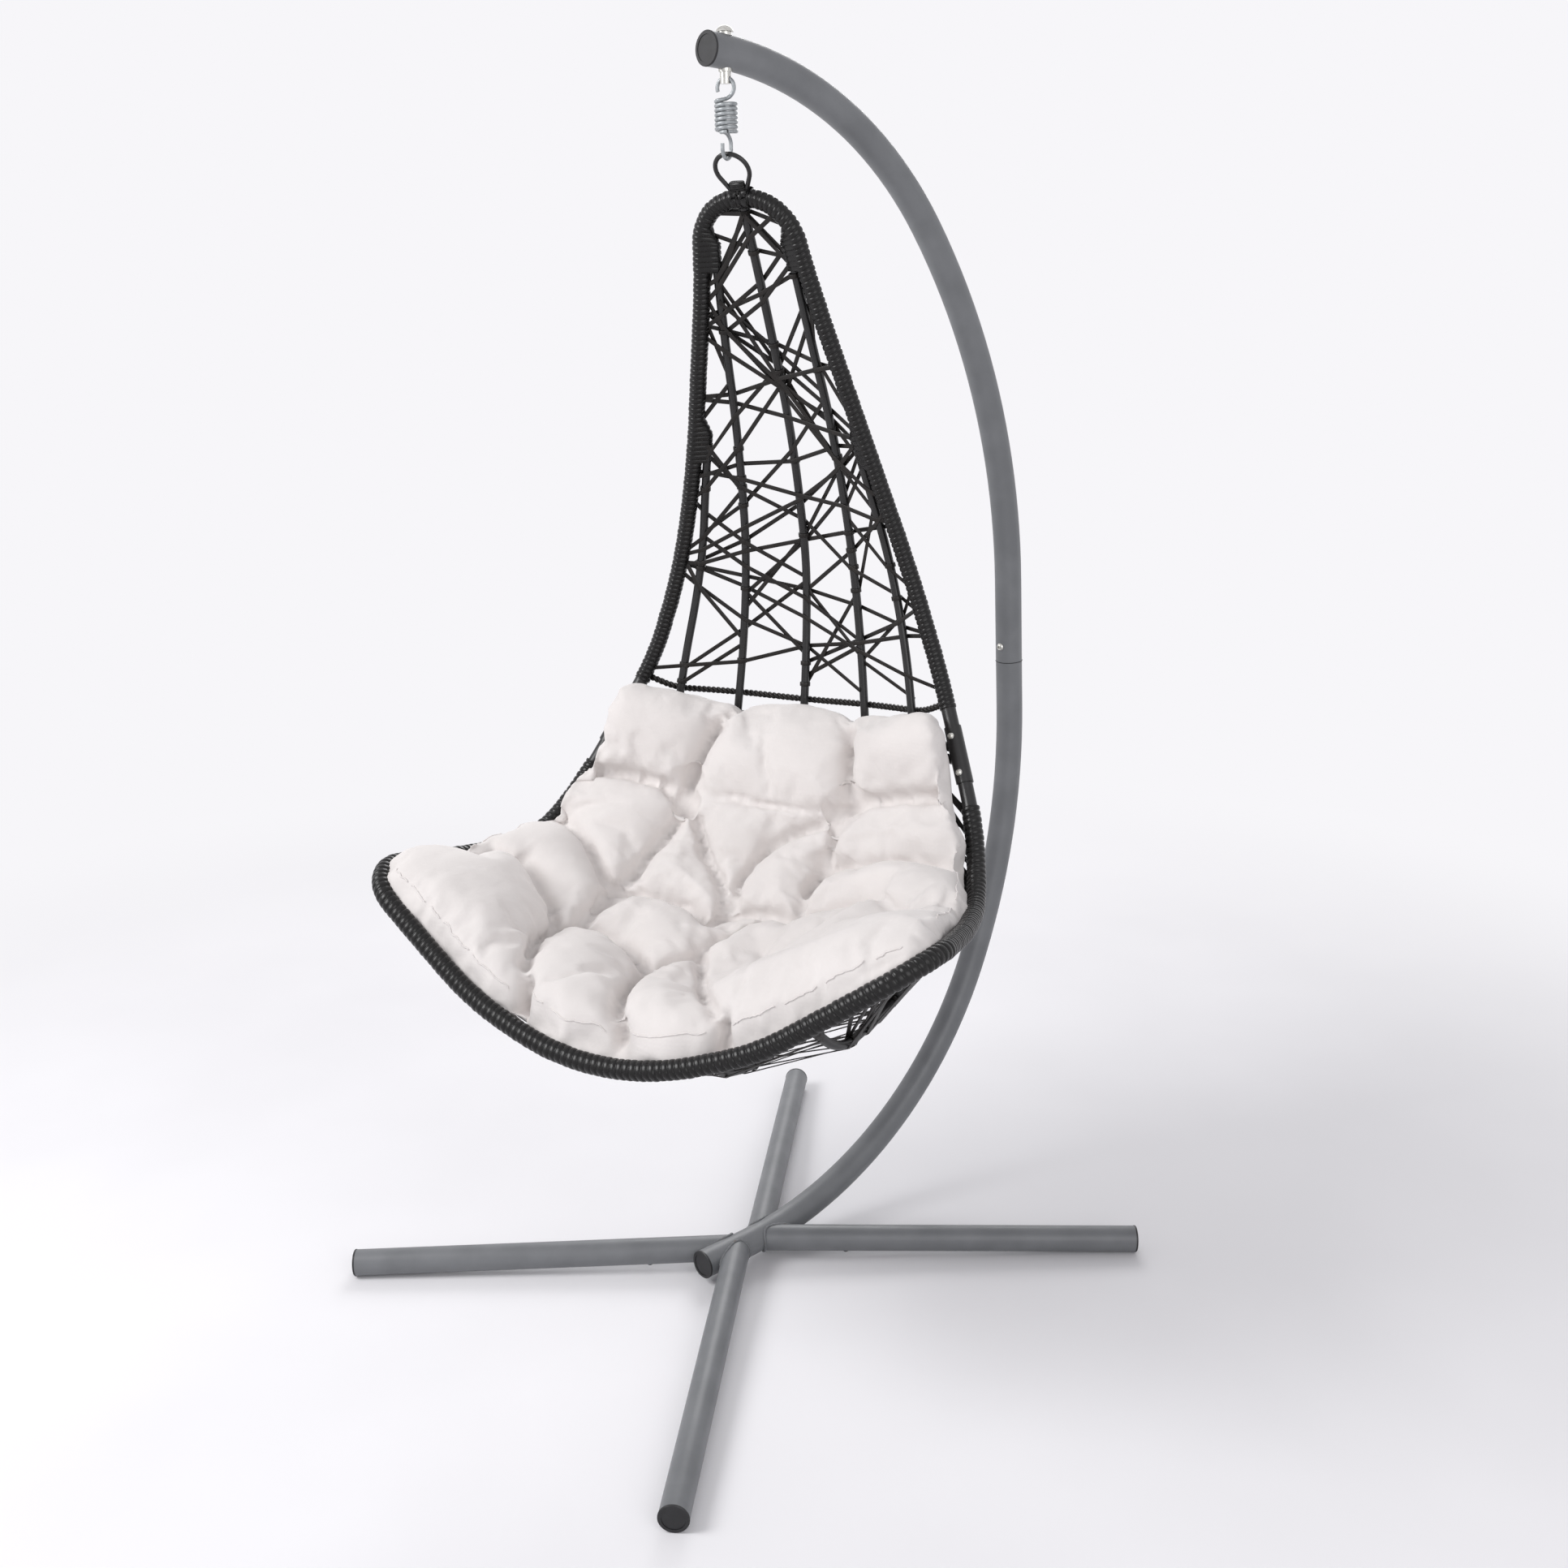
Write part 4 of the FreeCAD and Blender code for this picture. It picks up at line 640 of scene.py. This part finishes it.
def seatWeave():
    rng = random.Random(31)
    splines = []
    rimHalfRoute = rimRoute[:len(rimRoute) // 2 + 1]
    ribEnd = Vector((311, -409, 676))
    meeting = min(range(len(rimHalfRoute)), key=lambda index: (rimHalfRoute[index] - ribEnd).length)
    # the strips start clear of the sleeve
    rightRim = rimHalfRoute[weaving["rimSkip"]:meeting]
    leftRim = [Vector((-p.x, p.y, p.z)) for p in rightRim]
    rails = [leftRim, *(ribRoutes["seat", name, hand] for name, hand in ribOrder), rightRim]
    scatter = weaving["seatScatter"]
    # strips right across the seat
    for index in range(weaving["seatStrands"]):
        start = 0.01 + 0.98 * (index + rng.random()) / weaving["seatStrands"]
        end = min(0.99, max(0.01, start + rng.choice((-1, 1)) * rng.uniform(*weaving["seatDrift"])))
        values = [onRail(start + (end - start) * step / 6 + rng.uniform(-scatter, scatter)) for step in range(7)]
        strandThrough(rails, values, seatPoint, seatNormal, rng, splines)
    # and more of them near each side, from the rim to the inner rib
    for side in (rails[:3:-1], rails[:3]):
        for index in range(weaving["seatSide"]):
            start = 0.02 + 0.94 * (index + rng.random()) / weaving["seatSide"]
            slope = rng.choice((-1, 1)) * rng.uniform(*weaving["sideSlope"])
            values = [onRail(start + slope * step) for step in range(3)]
            strandThrough(side, values, seatPoint, seatNormal, rng, splines)
    weavePiece("seat", splines)


backWeave()
seatWeave()


# Twisted edge strand along the foot of the back
edgeStrand = {"strandRadius": 3.3, "coreRadius": 2.8, "twistPitch": 17, "height": [40, 46, 52], "behind": 18.5,
              "step": 2.5, "hoopHeight": 995, "hoopGap": 14}


def twistedEdge():
    look = edgeStrand
    corners = []
    feet = ((0, 248, 919, 0.0), (122, 234, 919, 0.35), (224, 199, 919, 0.6))
    for (x, y, z, outwards), rise in zip(feet, look["height"]):
        corners.append(Vector((x, y, z + rise)) + Vector((outwards, 1, 0)).normalized() * look["behind"])
    hoopLow = crossesAt(hoopSide[1], look["hoopHeight"])
    corners.append(hoopLow + (corners[-1] - hoopLow).normalized() * look["hoopGap"])
    route = filletPath(loopOf([tuple(c) for c in corners[::-1]]), look["step"])
    splines = []
    for start in (0.0, math.pi):
        points = []
        for index, (centre, way, one, two) in enumerate(framesAlong(route)):
            turn = start + 2 * math.pi * index * look["step"] / look["twistPitch"]
            offset = (one * math.cos(turn) + two * math.sin(turn)) * look["coreRadius"]
            points.append((spot(*(centre + offset)), 0.0, 1.0))
        splines.append((points, False))
    piece = curvePiece("edgeTwist", splines, look["strandRadius"] * mm, 0.0, 2)
    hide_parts("edge_strand")
    finishPiece(piece, "wovenWickerStrip", "basket")


twistedEdge()


# Spring: one wire from the upper hook through the turns
springWire = {"wire": 2.9, "turnRadius": 14.4, "hookRadius": 13.5, "top": 1906.5, "pitch": 6.25,
              "turns": 7 - 1 / 6, "hookTop": 1938, "hookStart": 200, "hookSweep": 250, "hookPoints": 40,
              "coilStart": 240, "turnPoints": 32, "lead": 9, "leadPoints": 8}


def hangingSpring():
    look = springWire
    places = []
    hookCentre = Vector((0, 0, look["hookTop"] - look["hookRadius"]))
    for index in range(look["hookPoints"] + 1):
        turn = math.radians(look["hookStart"] - look["hookSweep"] * index / look["hookPoints"])
        places.append(hookCentre + Vector((math.cos(turn), 0, math.sin(turn))) * look["hookRadius"])
    coil = []
    for index in range(int(look["turns"] * look["turnPoints"]) + 1):
        turned = index / look["turnPoints"]
        turn = math.radians(look["coilStart"]) - 2 * math.pi * turned
        coil.append(Vector((look["turnRadius"] * math.cos(turn), look["turnRadius"] * math.sin(turn),
                            look["top"] - look["pitch"] * turned)))
    # the wire runs on smoothly from the hook into the first turn
    hookEnd = places[-1]
    leave = hookEnd + (hookEnd - places[-2]).normalized() * look["lead"]
    arrive = coil[0] - (coil[1] - coil[0]).normalized() * look["lead"]
    for index in range(1, look["leadPoints"]):
        share = index / look["leadPoints"]
        rest = 1 - share
        places.append(hookEnd * rest ** 3 + leave * 3 * share * rest ** 2 + arrive * 3 * share * share * rest
                      + coil[0] * share ** 3)
    places += coil
    piece = curvePiece("springWire", [([(spot(*p), 0.0, 1.0) for p in places], False)], look["wire"] * mm, 0.0, 3)
    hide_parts("spring_coil")
    finishPiece(piece, "paintedSpringSteel", None)
    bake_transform(piece)


hangingSpring()


# Joint between the two halves of the bent tube: its plane's centre and rise; a black ring there is the painted shadow
# of the gap
tubeJoint = {"centre": (0, 663.6, 980.5), "tube": 24.1, "rise": 0.0566, "lineRadius": 0.7, "points": 64}


def jointGapShadow():
    # a thin black ring round the tube, the painted shadow in the gap of the joint
    look = tubeJoint
    points = []
    for turn in turnsRound(look["points"]):
        place = Vector((math.cos(turn), math.sin(turn), look["rise"] * math.sin(turn))) * look["tube"]
        points.append(((Vector(look["centre"]) + place) * mm, 0.0, 1.0))
    piece = curvePiece("tubeJointGapShadow", [(points, True)], look["lineRadius"] * mm, 0.0, 2)
    finishPiece(piece, "mouldedBlackPlastic", "stand")
    print("tube joint line")


# Weld beads where the leg stubs meet the base tube
weldBead = {"tube": 24, "stub": 22.5, "station": 24, "legAngle": 41.5, "legSlope": 1.4, "beadRadius": 2.6,
            "ripple": 3.4, "rippleHeight": 0.22, "bendRadius": 635, "bendStart": -2, "legLength": 668, "capHeight": 23,
            "points": 96, "footGap": 0.6}


def stubWelds():
    look = weldBead
    slope, angle = math.radians(look["legSlope"]), math.radians(look["legAngle"])
    axisHeight = look["legLength"] * math.sin(slope) + look["capHeight"] * math.cos(slope)
    splines = []
    for acrossSign, aheadSign in ((-1, -1), (1, -1), (1, 1), (-1, 1)):
        azimuth = math.atan2(aheadSign * math.cos(angle), acrossSign * math.sin(angle))
        outward = Vector((math.cos(azimuth) * math.cos(slope), math.sin(azimuth) * math.cos(slope), -math.sin(slope)))
        sideways = Vector((0, 0, 1)).cross(outward).normalized()
        upward = outward.cross(sideways)
        station = Vector((0, aheadSign * look["station"], axisHeight))
        points = []
        for index, turn in enumerate(turnsRound(look["points"])):
            ringPoint = station + (sideways * math.cos(turn) + upward * math.sin(turn)) * look["stub"]
            reach = look["tube"]
            # the bead's point is slid along the stub until it meets the tube
            for attempt in range(6):
                place = ringPoint + outward * reach
                rise = max(0.0, place.y - look["bendStart"]) ** 2 / (2 * look["bendRadius"])
                gap = look["tube"] + look["footGap"] - math.hypot(place.x, place.z - axisHeight - rise)
                reach += gap / max(0.25, abs(outward.x))
            ripple = 1 + look["rippleHeight"] * math.sin(2 * math.pi * index / look["ripple"])
            points.append((place * mm, 0.0, ripple))
        splines.append((points, True))
    piece = curvePiece("stubWelds", splines, look["beadRadius"] * mm, 0.0, 2)
    finishPiece(piece, "powderCoatOverWeld", "stand")


stubWelds()
jointGapShadow()
print("small pieces done")


# Cushion: tufted pad. A sewn line has the depth and width of its pull and the points that it runs through
cushionLook = {
    "voxel": 0.0095, "relax": 2,
    "pull": 0.75, "sharp": 0.62, "sharpWidth": 8, "plump": 11.0, "plumpWidth": 45,
    "pressure": 3.0, "slackCloth": -0.07, "frames": 20, "mostMove": 0.022, "stitchHold": 9.0,
    "puckerDepth": 2.8, "puckerLength": 24.0, "puckerWidth": 26, "stitchDepth": 13.0, "stitchWidth": 7.5,
    "crumple": ((1.3, 48), (0.5, 19)), "tuftFold": 6.5, "tuftReach": 110, "tuftWidth": 42,
    "rimDistance": 20.0, "rimBlend": 240.0, "rimBelow": 790, "frontRoll": 30.0, "rollFrom": 25, "rollTo": 230,
    "seamRadius": 1.3, "seamRise": 52.0, "seamBelow": 760, "seamInside": 0.97, "seamBreak": 8.5, "seamProud": 0.3,
    "fill": 0.65,
}
tuftPoints = [(-161, 106, 799), (140, 110, 823), (-12, -43, 664), (124, 46, 729), (-202, -61, 683),
              (-53, -214, 638), (-209, -276, 669), (113, -40, 686)]
sewnLines = {
    "topLeft": (30, 34, [(-161, 106, 799), (-151, 113, 852), (-134, 126, 897), (-122, 143, 926)]),
    "topLeftEnd": (13, 30, [(-122, 143, 926), (-116, 151, 940), (-92, 175, 956), (-80, 215, 962)]),
    "topRight": (30, 34, [(140, 110, 823), (130, 121, 881), (125, 137, 918), (123, 148, 932)]),
    "topRightEnd": (11, 30, [(123, 148, 932), (120, 163, 953), (112, 200, 962)]),
    "rightBack": (30, 34, [(140, 110, 823), (186, 97, 846), (230, 91, 859), (276, 82, 871), (321, 72, 885),
        (352, 85, 880)]),
    "leftBack": (26, 34, [(-161, 106, 799), (-194, 89, 833), (-238, 83, 844), (-290, 70, 852), (-323, 60, 854),
        (-352, 78, 850)]),
    "leftDown": (28, 34, [(-161, 106, 799), (-161, 64, 777), (-170, 42, 752), (-182, 16, 731), (-190, -27, 707),
        (-202, -61, 683)]),
    "middleDown": (24, 30, [(-161, 106, 799), (-121, 69, 774), (-96, 44, 741), (-61, 21, 717), (-37, -2, 699),
        (-12, -43, 664)]),
    "rightDown": (28, 34, [(140, 110, 823), (102, 89, 802), (47, 79, 778), (16, 64, 757), (-9, 38, 730), (-17, 8, 706),
        (-14, -22, 681), (-12, -43, 664)]),
    "across": (8, 26, [(-161, 106, 799), (-70, 101, 819), (7, 101, 812), (83, 98, 815), (140, 110, 823)]),
    "rightSide": (24, 30, [(140, 110, 823), (129, 101, 803), (126, 74, 782), (122, 60, 758), (124, 46, 729)]),
    "rightLow": (22, 30, [(124, 46, 729), (115, 26, 712), (112, -14, 699), (113, -40, 686)]),
    "rightFold": (26, 30, [(124, 46, 729), (150, 46, 741), (197, 37, 754), (233, 36, 764), (277, 28, 771),
        (309, 18, 773), (352, 12, 778)]),
    "frontRightTop": (24, 30, [(-12, -43, 664), (12, -34, 673), (55, -31, 684), (113, -40, 686)]),
    "rollRight": (28, 32, [(113, -40, 686), (151, -36, 700), (206, -40, 714), (253, -60, 722), (300, -110, 728),
        (356, -170, 745)]),
    "frontTop": (26, 30, [(-12, -43, 664), (-26, -61, 664), (-51, -56, 673), (-88, -44, 681), (-126, -45, 686),
        (-168, -52, 688), (-202, -61, 683)]),
    "leftRise": (26, 32, [(-202, -61, 683), (-226, -59, 702), (-266, -31, 727), (-301, -13, 746), (-341, 6, 775),
        (-362, 12, 780)]),
    "leftFront": (26, 32, [(-202, -61, 683), (-206, -107, 681), (-205, -146, 677), (-203, -182, 672), (-221, -206, 676),
        (-209, -276, 669)]),
    "farLeft": (28, 34, [(-221, -206, 676), (-249, -173, 690), (-282, -153, 706), (-317, -139, 725), (-364, -151, 750),
        (-388, -194, 767)]),
    "frontLeftDrop": (30, 30, [(-209, -276, 669), (-198, -302, 664), (-180, -351, 655), (-160, -398, 637),
        (-162, -408, 614)]),
    "frontMidLeft": (26, 32, [(-203, -182, 672), (-179, -165, 666), (-146, -164, 659), (-100, -184, 647),
        (-53, -214, 638)]),
    "frontMidDrop": (32, 30, [(-53, -214, 638), (-52, -242, 637), (-29, -313, 633), (-15, -362, 629), (2, -403, 620),
        (12, -413, 600)]),
    "frontMidRight": (20, 32, [(-53, -214, 638), (-30, -177, 641), (-7, -140, 646), (9, -101, 655), (34, -63, 667),
        (69, -44, 679), (113, -40, 686)]),
    "frontRightDrop": (24, 28, [(-5, -137, 647), (28, -196, 638), (63, -255, 637), (104, -322, 640), (141, -374, 641),
        (170, -397, 638), (176, -404, 615)]),
    "smallRight": (9, 20, [(104, -140, 654), (132, -182, 653), (140, -232, 651)]),
}


def lineTable(lines):
    # start, end, depth, width and distance along, for every run of every line
    rows = []
    for depth, width, points in lines:
        along = 0.0
        for one, two in zip(points, points[1:]):
            one, two = np.array(one, float), np.array(two, float)
            rows.append((one, two, depth, width, along))
            along += float(np.linalg.norm(two - one))
    return rows


def nearestRun(points, rows):
    # for each point: the strongest pull, the nearest run's distance, and how far along its line that is
    look = cushionLook
    pull = np.zeros(len(points))
    near = np.full(len(points), 1e9)
    along = np.zeros(len(points))
    for one, two, depth, width, start in rows:
        run = two - one
        share = np.clip(((points - one) @ run) / (run @ run), 0, 1)
        gap = np.linalg.norm(points - one - share[:, None] * run, axis=1)
        soft, sharp = look["pull"] * np.exp(-gap / width), look["sharp"] * np.exp(-gap / look["sharpWidth"])
        pull = np.maximum(pull, depth * (soft + sharp))
        better = gap < near
        near = np.where(better, gap, near)
        # lines of other depths get other gathers
        along = np.where(better, start + share * np.linalg.norm(run) + 37.0 * depth, along)
    return pull, near, along


def localPoints(mesh):
    # vertex places and normals in the basket's own directions, millimetres
    count = len(mesh.vertices)
    places, normals = np.empty(count * 3), np.empty(count * 3)
    mesh.vertices.foreach_get("co", places)
    mesh.vertex_normals.foreach_get("vector", normals)
    turn = np.array(basketTurn.to_3x3())
    return places.reshape(-1, 3) @ turn * 1000, normals.reshape(-1, 3) @ turn


def storePoints(mesh, places):
    turn = np.array(basketTurn.to_3x3())
    mesh.vertices.foreach_set("co", (places @ turn.T / 1000).ravel())
    mesh.update()


def applyModifiers(piece):
    bpy.context.view_layer.update()
    fresh = bpy.data.meshes.new_from_object(piece.evaluated_get(bpy.context.evaluated_depsgraph_get()))
    piece.modifiers.clear()
    piece.data = fresh
    piece.data.name = piece.name


def reachForRim(mesh):
    # the pad lies against the rim: its edge is drawn out to the wound tube all along the front
    look = cushionLook
    places, normals = localPoints(mesh)
    rim = np.array([tuple(p) for p in rimRoute if p.z < look["rimBelow"]])
    nearest = np.empty(len(places), int)
    atOnce = 4000
    for start in range(0, len(places), atOnce):
        block = places[start:start + atOnce]
        nearest[start:start + atOnce] = np.argmin(((block[:, None] - rim[None]) ** 2).sum(axis=2), axis=1)
    away = rim[nearest] - places
    distance = np.linalg.norm(away, axis=1)
    # how far the pad stays from each point of the rim, smoothed along it
    closest = np.full(len(rim), np.inf)
    np.minimum.at(closest, nearest, distance)
    closest = np.where(np.isinf(closest), 45.0, closest)
    halfWindow = 12
    kernel = np.ones(2 * halfWindow + 1) / (2 * halfWindow + 1)
    closest = np.convolve(np.pad(closest, halfWindow, mode="edge"), kernel, mode="valid")
    gap = np.clip(closest[nearest] - look["rimDistance"], 0, 70)
    share = np.clip((look["rimBlend"] - distance) / (look["rimBlend"] - closest[nearest]), 0, 1)
    share = share * share * (3 - 2 * share)
    # and it stands up behind the tube as a thick roll
    rollIn = np.clip((distance - look["rollFrom"]) / 45, 0, 1)
    rollOut = np.clip((look["rollTo"] - distance) / 120, 0, 1)
    top = np.clip((normals[:, 2] + 0.2) / 0.6, 0, 1) * np.clip((look["rimBelow"] - places[:, 2]) / 60, 0, 1)
    roll = look["frontRoll"] * rollIn * rollOut * top
    moved = places + away / distance[:, None] * (gap * share)[:, None]
    moved[:, 2] += roll
    storePoints(mesh, moved)
    return places, moved - places


def carried(points, places, shift):
    # sewn points stay on the cover when it is drawn out
    found = []
    for point in points:
        nearest = np.argmin(((places - np.array(point, float)) ** 2).sum(axis=1))
        found.append(tuple(np.array(point, float) + shift[nearest]))
    return found


lineMarks = ("linePull", "lineNear", "lineAlong")


def readMark(mesh, name):
    values = np.zeros(len(mesh.vertices), np.float32)
    mesh.attributes[name].data.foreach_get("value", values)
    return values


def pressSewnLines(mesh, rows):
    # the cover is pulled in along the lines and plump between them; only its top and front are sewn
    look = cushionLook
    places, normals = localPoints(mesh)
    pull, near, along = nearestRun(places, rows)
    upward = np.clip((normals[:, 2] + 0.15) / 0.5, 0, 1)
    frontward = np.clip((-normals[:, 1] - 0.2) / 0.5, 0, 1)
    shown = np.maximum(upward, frontward)
    puff = look["plump"] * (1 - np.exp(-near / look["plumpWidth"])) * shown
    for name, values in zip(lineMarks, (pull, near, along)):
        mesh.attributes.new(name, "FLOAT", "POINT").data.foreach_set("value", values.astype(np.float32))
    storePoints(mesh, places + normals * (puff - pull * shown)[:, None])
    return near


def simulateCloth(piece, near):
    look = cushionLook
    sewn = piece.vertex_groups.new(name="sewn")
    places, normals = localPoints(piece.data)
    for index in range(len(places)):
        # the stitches hold, and so does the underside, which lies on the bowl
        facesDown = normals[index][2] < -0.35
        hold = 1.0 if facesDown else max(1.0 - near[index] / look["stitchHold"], 0.0)
        if hold > 0.02:
            sewn.add([index], hold, "REPLACE")
    simulation = piece.modifiers.new("cloth", "CLOTH")
    settings = simulation.settings
    settings.quality = 5
    settings.mass = 0.3
    settings.tension_stiffness = settings.compression_stiffness = 12
    settings.shear_stiffness = 6
    settings.bending_stiffness = 0.35
    settings.vertex_group_mass = "sewn"
    settings.pin_stiffness = 1.0
    settings.use_pressure = True
    settings.uniform_pressure_force = look["pressure"]
    settings.shrink_min = look["slackCloth"]
    settings.effector_weights.gravity = 0.0
    simulation.collision_settings.use_collision = False
    for step in range(1, look["frames"] + 1):
        scene.frame_set(step)
    before = np.empty(len(places) * 3)
    piece.data.vertices.foreach_get("co", before)
    applyModifiers(piece)
    after = np.empty(len(places) * 3)
    piece.data.vertices.foreach_get("co", after)
    scene.frame_set(1)
    move = (after - before).reshape(-1, 3)
    length = np.linalg.norm(move, axis=1)
    scale = np.where(length > look["mostMove"], look["mostMove"] / np.maximum(length, 1e-9), 1.0)
    piece.data.vertices.foreach_set("co", (before.reshape(-1, 3) + move * scale[:, None]).ravel())
    piece.data.update()
    print("cloth moved %.1f mm at most, %.1f mm on average" % (length.max() * 1000, length.mean() * 1000))


def addFolds(mesh, tufts):
    # gathers square to the sewn lines, tight stitches, a soft crumple all over and folds round each tuft
    places, normals = localPoints(mesh)
    pull, near, along = (readMark(mesh, name) for name in lineMarks)
    shown = np.clip((np.maximum(normals[:, 2], -normals[:, 1]) + 0.1) / 0.4, 0, 1)
    lift = np.zeros(len(places))
    look = cushionLook
    for index in np.nonzero(shown > 0.01)[0]:
        place = places[index]
        gather = noise.noise(Vector((along[index] / look["puckerLength"], near[index] / 60, 3.7)))
        lift[index] = look["puckerDepth"] * (0.5 - 2.0 * abs(gather)) * math.exp(-near[index] / look["puckerWidth"])
        lift[index] -= look["stitchDepth"] * math.exp(-near[index] / look["stitchWidth"]) * min(1.0, pull[index] / 20)
        for height, size in look["crumple"]:
            lift[index] += height * noise.noise(Vector(place / size))
        for number, tuft in enumerate(tufts):
            gap = place - np.array(tuft)
            distance = math.sqrt(gap @ gap)
            if distance < look["tuftReach"]:
                angle = math.atan2(gap[1] + 0.6 * gap[2], gap[0])
                ringPoint = Vector((math.cos(angle) * 1.9, math.sin(angle) * 1.9, number * 5.3))
                fold = 0.4 - 2.0 * abs(noise.noise(ringPoint))
                lift[index] += look["tuftFold"] * fold * math.exp(-distance / look["tuftWidth"])
    storePoints(mesh, places + normals * (lift * shown)[:, None])


def makeCushion():
    look = cushionLook
    piece = placed("cushionCover", nodes["cushion"].data.copy())
    bm = bmesh.new()
    bm.from_mesh(piece.data)
    bmesh.ops.remove_doubles(bm, verts=bm.verts, dist=0.00005)
    bm.to_mesh(piece.data)
    bm.free()
    remesh = piece.modifiers.new("remesh", "REMESH")
    remesh.mode = "VOXEL"
    remesh.voxel_size = look["voxel"] * 1
    applyModifiers(piece)
    places, shift = reachForRim(piece.data)
    rows = lineTable([(depth, width, carried(points, places, shift)) for depth, width, points in sewnLines.values()])
    tufts = carried(tuftPoints, places, shift)
    near = pressSewnLines(piece.data, rows)
    relax = piece.modifiers.new("relax", "SMOOTH")
    relax.factor, relax.iterations = 0.5, look["relax"]
    applyModifiers(piece)
    simulateCloth(piece, near)
    smooth = piece.modifiers.new("smooth", "SUBSURF")
    smooth.levels = smooth.render_levels = 1
    applyModifiers(piece)
    addFolds(piece.data, tufts)
    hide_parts("cushion")
    finishPiece(piece, "wovenPolyester", "basket")
    print("cushion:", len(piece.data.polygons), "faces")
    return piece


def sewSeams(cover):
    # raised seam of the boxed front, laid on the finished cover and lost in the deep creases
    look = cushionLook
    tree = BVHTree.FromPolygons([v.co for v in cover.data.vertices], [p.vertices for p in cover.data.polygons])
    runs, last = [], None
    for place in rimRoute:
        if place.z < look["seamBelow"]:
            start = spot(place.x * look["seamInside"], place.y, place.z + look["seamRise"])
            found, normal, face, gap = tree.find_nearest(start)
            if last is None or (found - last).length > look["seamBreak"] * mm:
                runs.append([])
            runs[-1].append((found + normal * look["seamProud"] * mm, 0.0, 1.0))
            last = found
    piece = curvePiece("cushionSeams", [(run, False) for run in runs if len(run) > 2], look["seamRadius"] * mm)
    finishPiece(piece, "wovenPolyester", "basket")


sewSeams(makeCushion())
print("cushion done")


# Floor, background, lamps and camera
studio = {"floorSize": 14.0, "fadeFrom": 1.3, "fadeTo": 3.2, "worldColour": "f7f6f9", "worldLevel": 0.5}
# place, target, size and power of each lamp
lamps = {"keyLamp": ((-1.2, -3.0, 3.2), (0, 0, 1.0), 2.2, 102), "fillLamp": ((3.4, -1.2, 2.2), (0, 0, 1.0), 2.6, 35),
         "backLamp": ((-2.2, 2.4, 2.8), (0, 0.2, 1.2), 2.2, 50)}
# solved from the photograph
viewpoint = {"lens": 38.92, "place": (2.002, -1.715, 1.636), "yaw": -0.835, "pitch": 0.281, "roll": 0.012}


def paleFloor():
    bm = bmesh.new()
    bmesh.ops.create_grid(bm, x_segments=1, y_segments=1, size=studio["floorSize"] / 2)
    floor = meshPiece("studioFloor", bm)
    material = materials["paintedFloor"]
    tree = material.node_tree
    shader = tree.nodes["Principled BSDF"]
    # far away the floor fades into the background's own white; the shadow under the chair stays
    geometry = addNode(tree, "ShaderNodeNewGeometry").outputs["Position"]
    away = addNode(tree, "ShaderNodeVectorMath", {0: geometry}, operation="LENGTH").outputs["Value"]
    fade = addNode(tree, "ShaderNodeMapRange", {"Value": away, "From Min": studio["fadeFrom"],
                                                "From Max": studio["fadeTo"]}, interpolation_type="SMOOTHSTEP")
    white = addNode(tree, "ShaderNodeEmission", {"Color": linear(studio["worldColour"]), "Strength": 1.0})
    mixed = addNode(tree, "ShaderNodeMixShader", {0: fade.outputs["Result"], 1: shader.outputs["BSDF"],
                                                  2: white.outputs["Emission"]})
    tree.links.new(mixed.outputs["Shader"], tree.nodes["Material Output"].inputs["Surface"])
    floor.data.materials.append(material)


def background():
    # camera, reflections and refractions see full white; the light that it gives is lower
    world = bpy.data.worlds.new("studioAir")
    scene.world = world
    world.use_nodes = True
    tree = world.node_tree
    ray = addNode(tree, "ShaderNodeLightPath")
    seen = addNode(tree, "ShaderNodeMath", {0: ray.outputs["Is Camera Ray"], 1: ray.outputs["Is Glossy Ray"]},
                   operation="MAXIMUM")
    seen = addNode(tree, "ShaderNodeMath", {0: seen.outputs[0], 1: ray.outputs["Is Transmission Ray"]},
                   operation="MAXIMUM")
    level = addNode(tree, "ShaderNodeMapRange", {"Value": seen.outputs[0], "To Min": studio["worldLevel"],
                                                 "To Max": 1.0})
    air = tree.nodes["Background"]
    air.inputs["Color"].default_value = linear(studio["worldColour"])
    tree.links.new(level.outputs["Result"], air.inputs["Strength"])


def softLamp(name, place, target, size, power):
    lamp = bpy.data.lights.new(name, "AREA")
    lamp.shape, lamp.size, lamp.energy = "DISK", size, power
    holder = placed(name, lamp)
    holder.location = place
    holder.rotation_euler = (Vector(target) - Vector(place)).to_track_quat("-Z", "Y").to_euler()


def photoCamera():
    lens = bpy.data.cameras.new("photoCamera")
    lens.sensor_width, lens.lens = 36, viewpoint["lens"]
    lens.clip_end = 60
    holder = placed("photoCamera", lens)
    yaw, pitch, roll = viewpoint["yaw"], viewpoint["pitch"], viewpoint["roll"]
    ahead = Vector((math.sin(yaw) * math.cos(pitch), math.cos(yaw) * math.cos(pitch), -math.sin(pitch)))
    across = Vector((math.cos(yaw), -math.sin(yaw), 0))
    up = across.cross(ahead)
    turnedAcross = across * math.cos(roll) - up * math.sin(roll)
    turnedUp = up * math.cos(roll) + across * math.sin(roll)
    holder.matrix_world = Matrix((turnedAcross, turnedUp, -ahead)).transposed().to_4x4()
    holder.location = viewpoint["place"]
    scene.camera = holder


paleFloor()
background()
for lampName, (place, target, size, power) in lamps.items():
    softLamp(lampName, place, target, size, power)
photoCamera()
scene.view_settings.view_transform = "Standard"
print("studio done")
